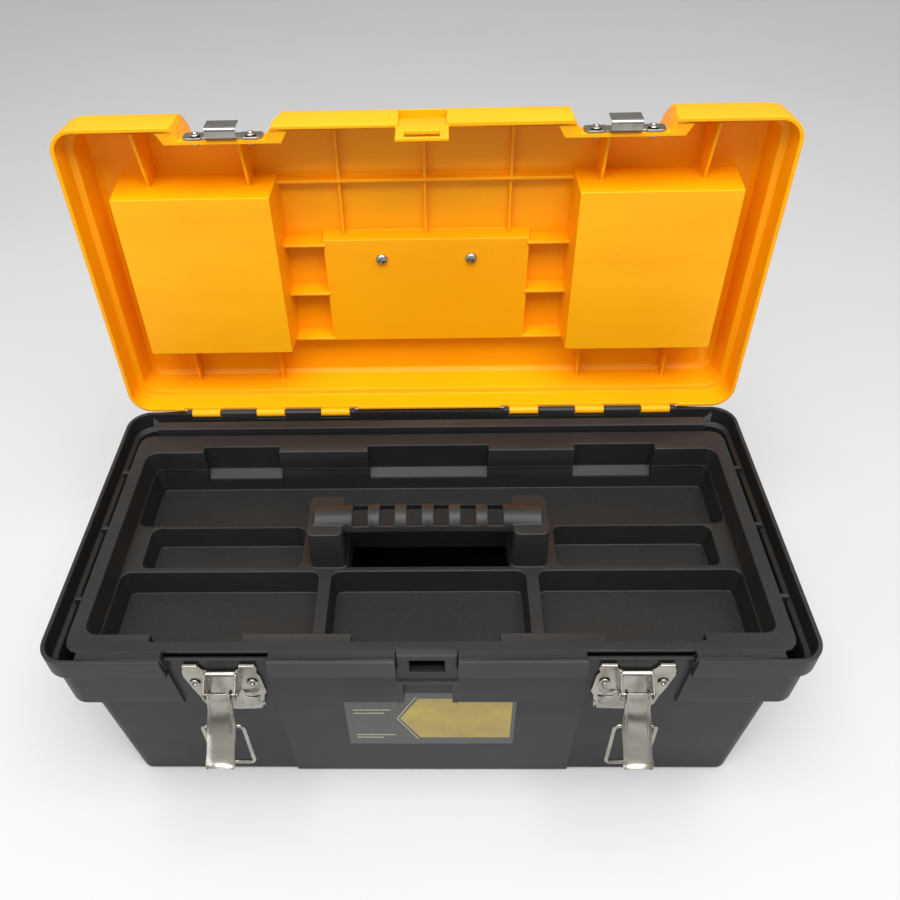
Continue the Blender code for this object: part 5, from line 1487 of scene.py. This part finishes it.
def build_studio():
    def ground(bm):
        box(bm, (-6000.0, -6000.0, -20.0), (6000.0, 6000.0, -0.4))

    floor = make("floor", ground, studio_floor("studio_floor"))

    world = bpy.data.worlds.new("studio")
    world.use_nodes = True
    tree = world.node_tree
    place = tree.nodes.new("ShaderNodeTexCoord")
    split = tree.nodes.new("ShaderNodeSeparateXYZ")
    tree.links.new(place.outputs["Generated"], split.inputs["Vector"])
    ramp = tree.nodes.new("ShaderNodeValToRGB")
    ramp.color_ramp.elements[0].position = 0.02
    ramp.color_ramp.elements[0].color = (0.20, 0.20, 0.20, 1.0)
    ramp.color_ramp.elements[1].position = 0.75
    ramp.color_ramp.elements[1].color = (0.95, 0.95, 0.95, 1.0)
    tree.links.new(split.outputs["Z"], ramp.inputs["Fac"])
    background = tree.nodes["Background"]
    tree.links.new(ramp.outputs["Color"], background.inputs["Color"])
    background.inputs["Strength"].default_value = 0.75
    bpy.context.scene.world = world

    def lamp(name, place, aim, size, power, colour=(1.0, 1.0, 1.0)):
        data = bpy.data.lights.new(name, "AREA")
        data.shape = "RECTANGLE"
        data.size, data.size_y = size
        data.energy = power
        data.color = colour
        item = bpy.data.objects.new(name, data)
        item.location = place
        item.rotation_euler = (Vector(aim) - Vector(place)).to_track_quat("-Z", "Y").to_euler()
        bpy.context.scene.collection.objects.link(item)

    lamp("softbox_top", (0.05, -0.45, 1.5), (0.0, 0.05, 0.15), (1.3, 0.9), 27.0)
    lamp("softbox_left", (-1.2, -0.9, 1.0), (0.0, 0.0, 0.1), (0.7, 0.9), 3.5)
    lamp("softbox_front", (0.5, -1.5, 0.7), (0.0, 0.0, 0.15), (1.0, 0.5), 0.7)


def build_camera():
    data = bpy.data.cameras.new("camera")
    data.sensor_width = 36.0
    data.lens = CAMERA_LENS
    data.shift_x, data.shift_y = CAMERA_SHIFT
    item = bpy.data.objects.new("camera", data)
    bpy.context.scene.collection.objects.link(item)
    yaw, pitch, roll = (math.radians(angle) for angle in CAMERA_YAW_PITCH_ROLL)
    forward = Vector((math.sin(yaw) * math.cos(pitch), math.cos(yaw) * math.cos(pitch), -math.sin(pitch)))
    level = Vector((math.cos(yaw), -math.sin(yaw), 0.0))
    upright = level.cross(forward)
    right = math.cos(roll) * level + math.sin(roll) * upright
    up = -math.sin(roll) * level + math.cos(roll) * upright
    place = Matrix((right, up, -forward)).transposed().to_4x4()
    place.translation = CAMERA_PLACE
    item.matrix_world = place
    bpy.context.scene.camera = item


# ---------------------------------------------------------------- the whole

def main():
    build_camera()
    black = moulded_plastic("black_polypropylene", (0.0085, 0.0092, 0.0090), (0.0135, 0.0142, 0.0138),
                            (0.060, 0.061, 0.060), 0.44, 0.8, 0.3)
    yellow = moulded_plastic("yellow_polypropylene", (0.93, 0.340, 0.0), (0.97, 0.390, 0.0),
                             (0.98, 0.50, 0.01), 0.40, 0.7, 0.2)
    smoke = smoked_plastic("smoked_polypropylene")
    chrome = plated_metal("nickel_plate", (0.42, 0.40, 0.36), (0.20, 0.17, 0.13), 0.22, (0.08, 1.0, 1.0))
    steel = plated_metal("zinc_plate", (0.52, 0.52, 0.52), (0.36, 0.35, 0.34), 0.30, (1.0, 0.08, 1.0))
    dark_film = printed_film("label_dark", (0.010, 0.010, 0.009), (0.017, 0.016, 0.014), 0.25)
    yellow_film = printed_film("label_yellow", (0.30, 0.20, 0.01), (0.44, 0.33, 0.02), 0.32)
    line_film = printed_film("label_line", (0.30, 0.27, 0.16), (0.40, 0.36, 0.22), 0.32)

    build_tub(black)
    tub = bpy.data.objects["tub_moulding"]
    soften(tub, 0.6)
    settle(tub, "tub_body", ["tub"], smooth=30.0)
    build_tray(black)
    tray = bpy.data.objects["tray_moulding"]
    soften(tray, 0.7)
    settle(tray, "tray_body", ["tray"], smooth=30.0)
    build_lid(yellow)
    lid = bpy.data.objects["lid_moulding"]
    soften(lid, 0.6)
    settle(lid, "lid", ["lid_shell"], True, 30.0)
    for name, side in (("left", -1.0), ("right", 1.0)):
        build_latch_plate(name, side, chrome)
        build_lever(name, side, chrome)
        build_bail(name, side, chrome)
        build_lever_pin(name, side, steel)
        build_strike(name, side, chrome)
        build_hinge_pin(name, side, steel)
        build_handle_screw(name, side, steel)
        build_cover(name, side, smoke)
        head_y = POCKET_FACE_Y - GAP - LATCH_STEEL - GAP
        for index, (x, z) in enumerate(LATCH_RIVETS):
            number = f"{name}_{index + 1}"
            build_eyelet(f"latch_eyelet_{number}", f"latch_rivet_{number}", (side * (LATCH_X - x), z),
                         head_y, POCKET_FACE_Y + WALL + GAP, "tub_body", chrome, False)
    build_carry_handle(black, steel)
    build_label(dark_film, yellow_film, line_film)
    build_studio()
    bpy.context.scene.view_settings.view_transform = "Standard"


main()
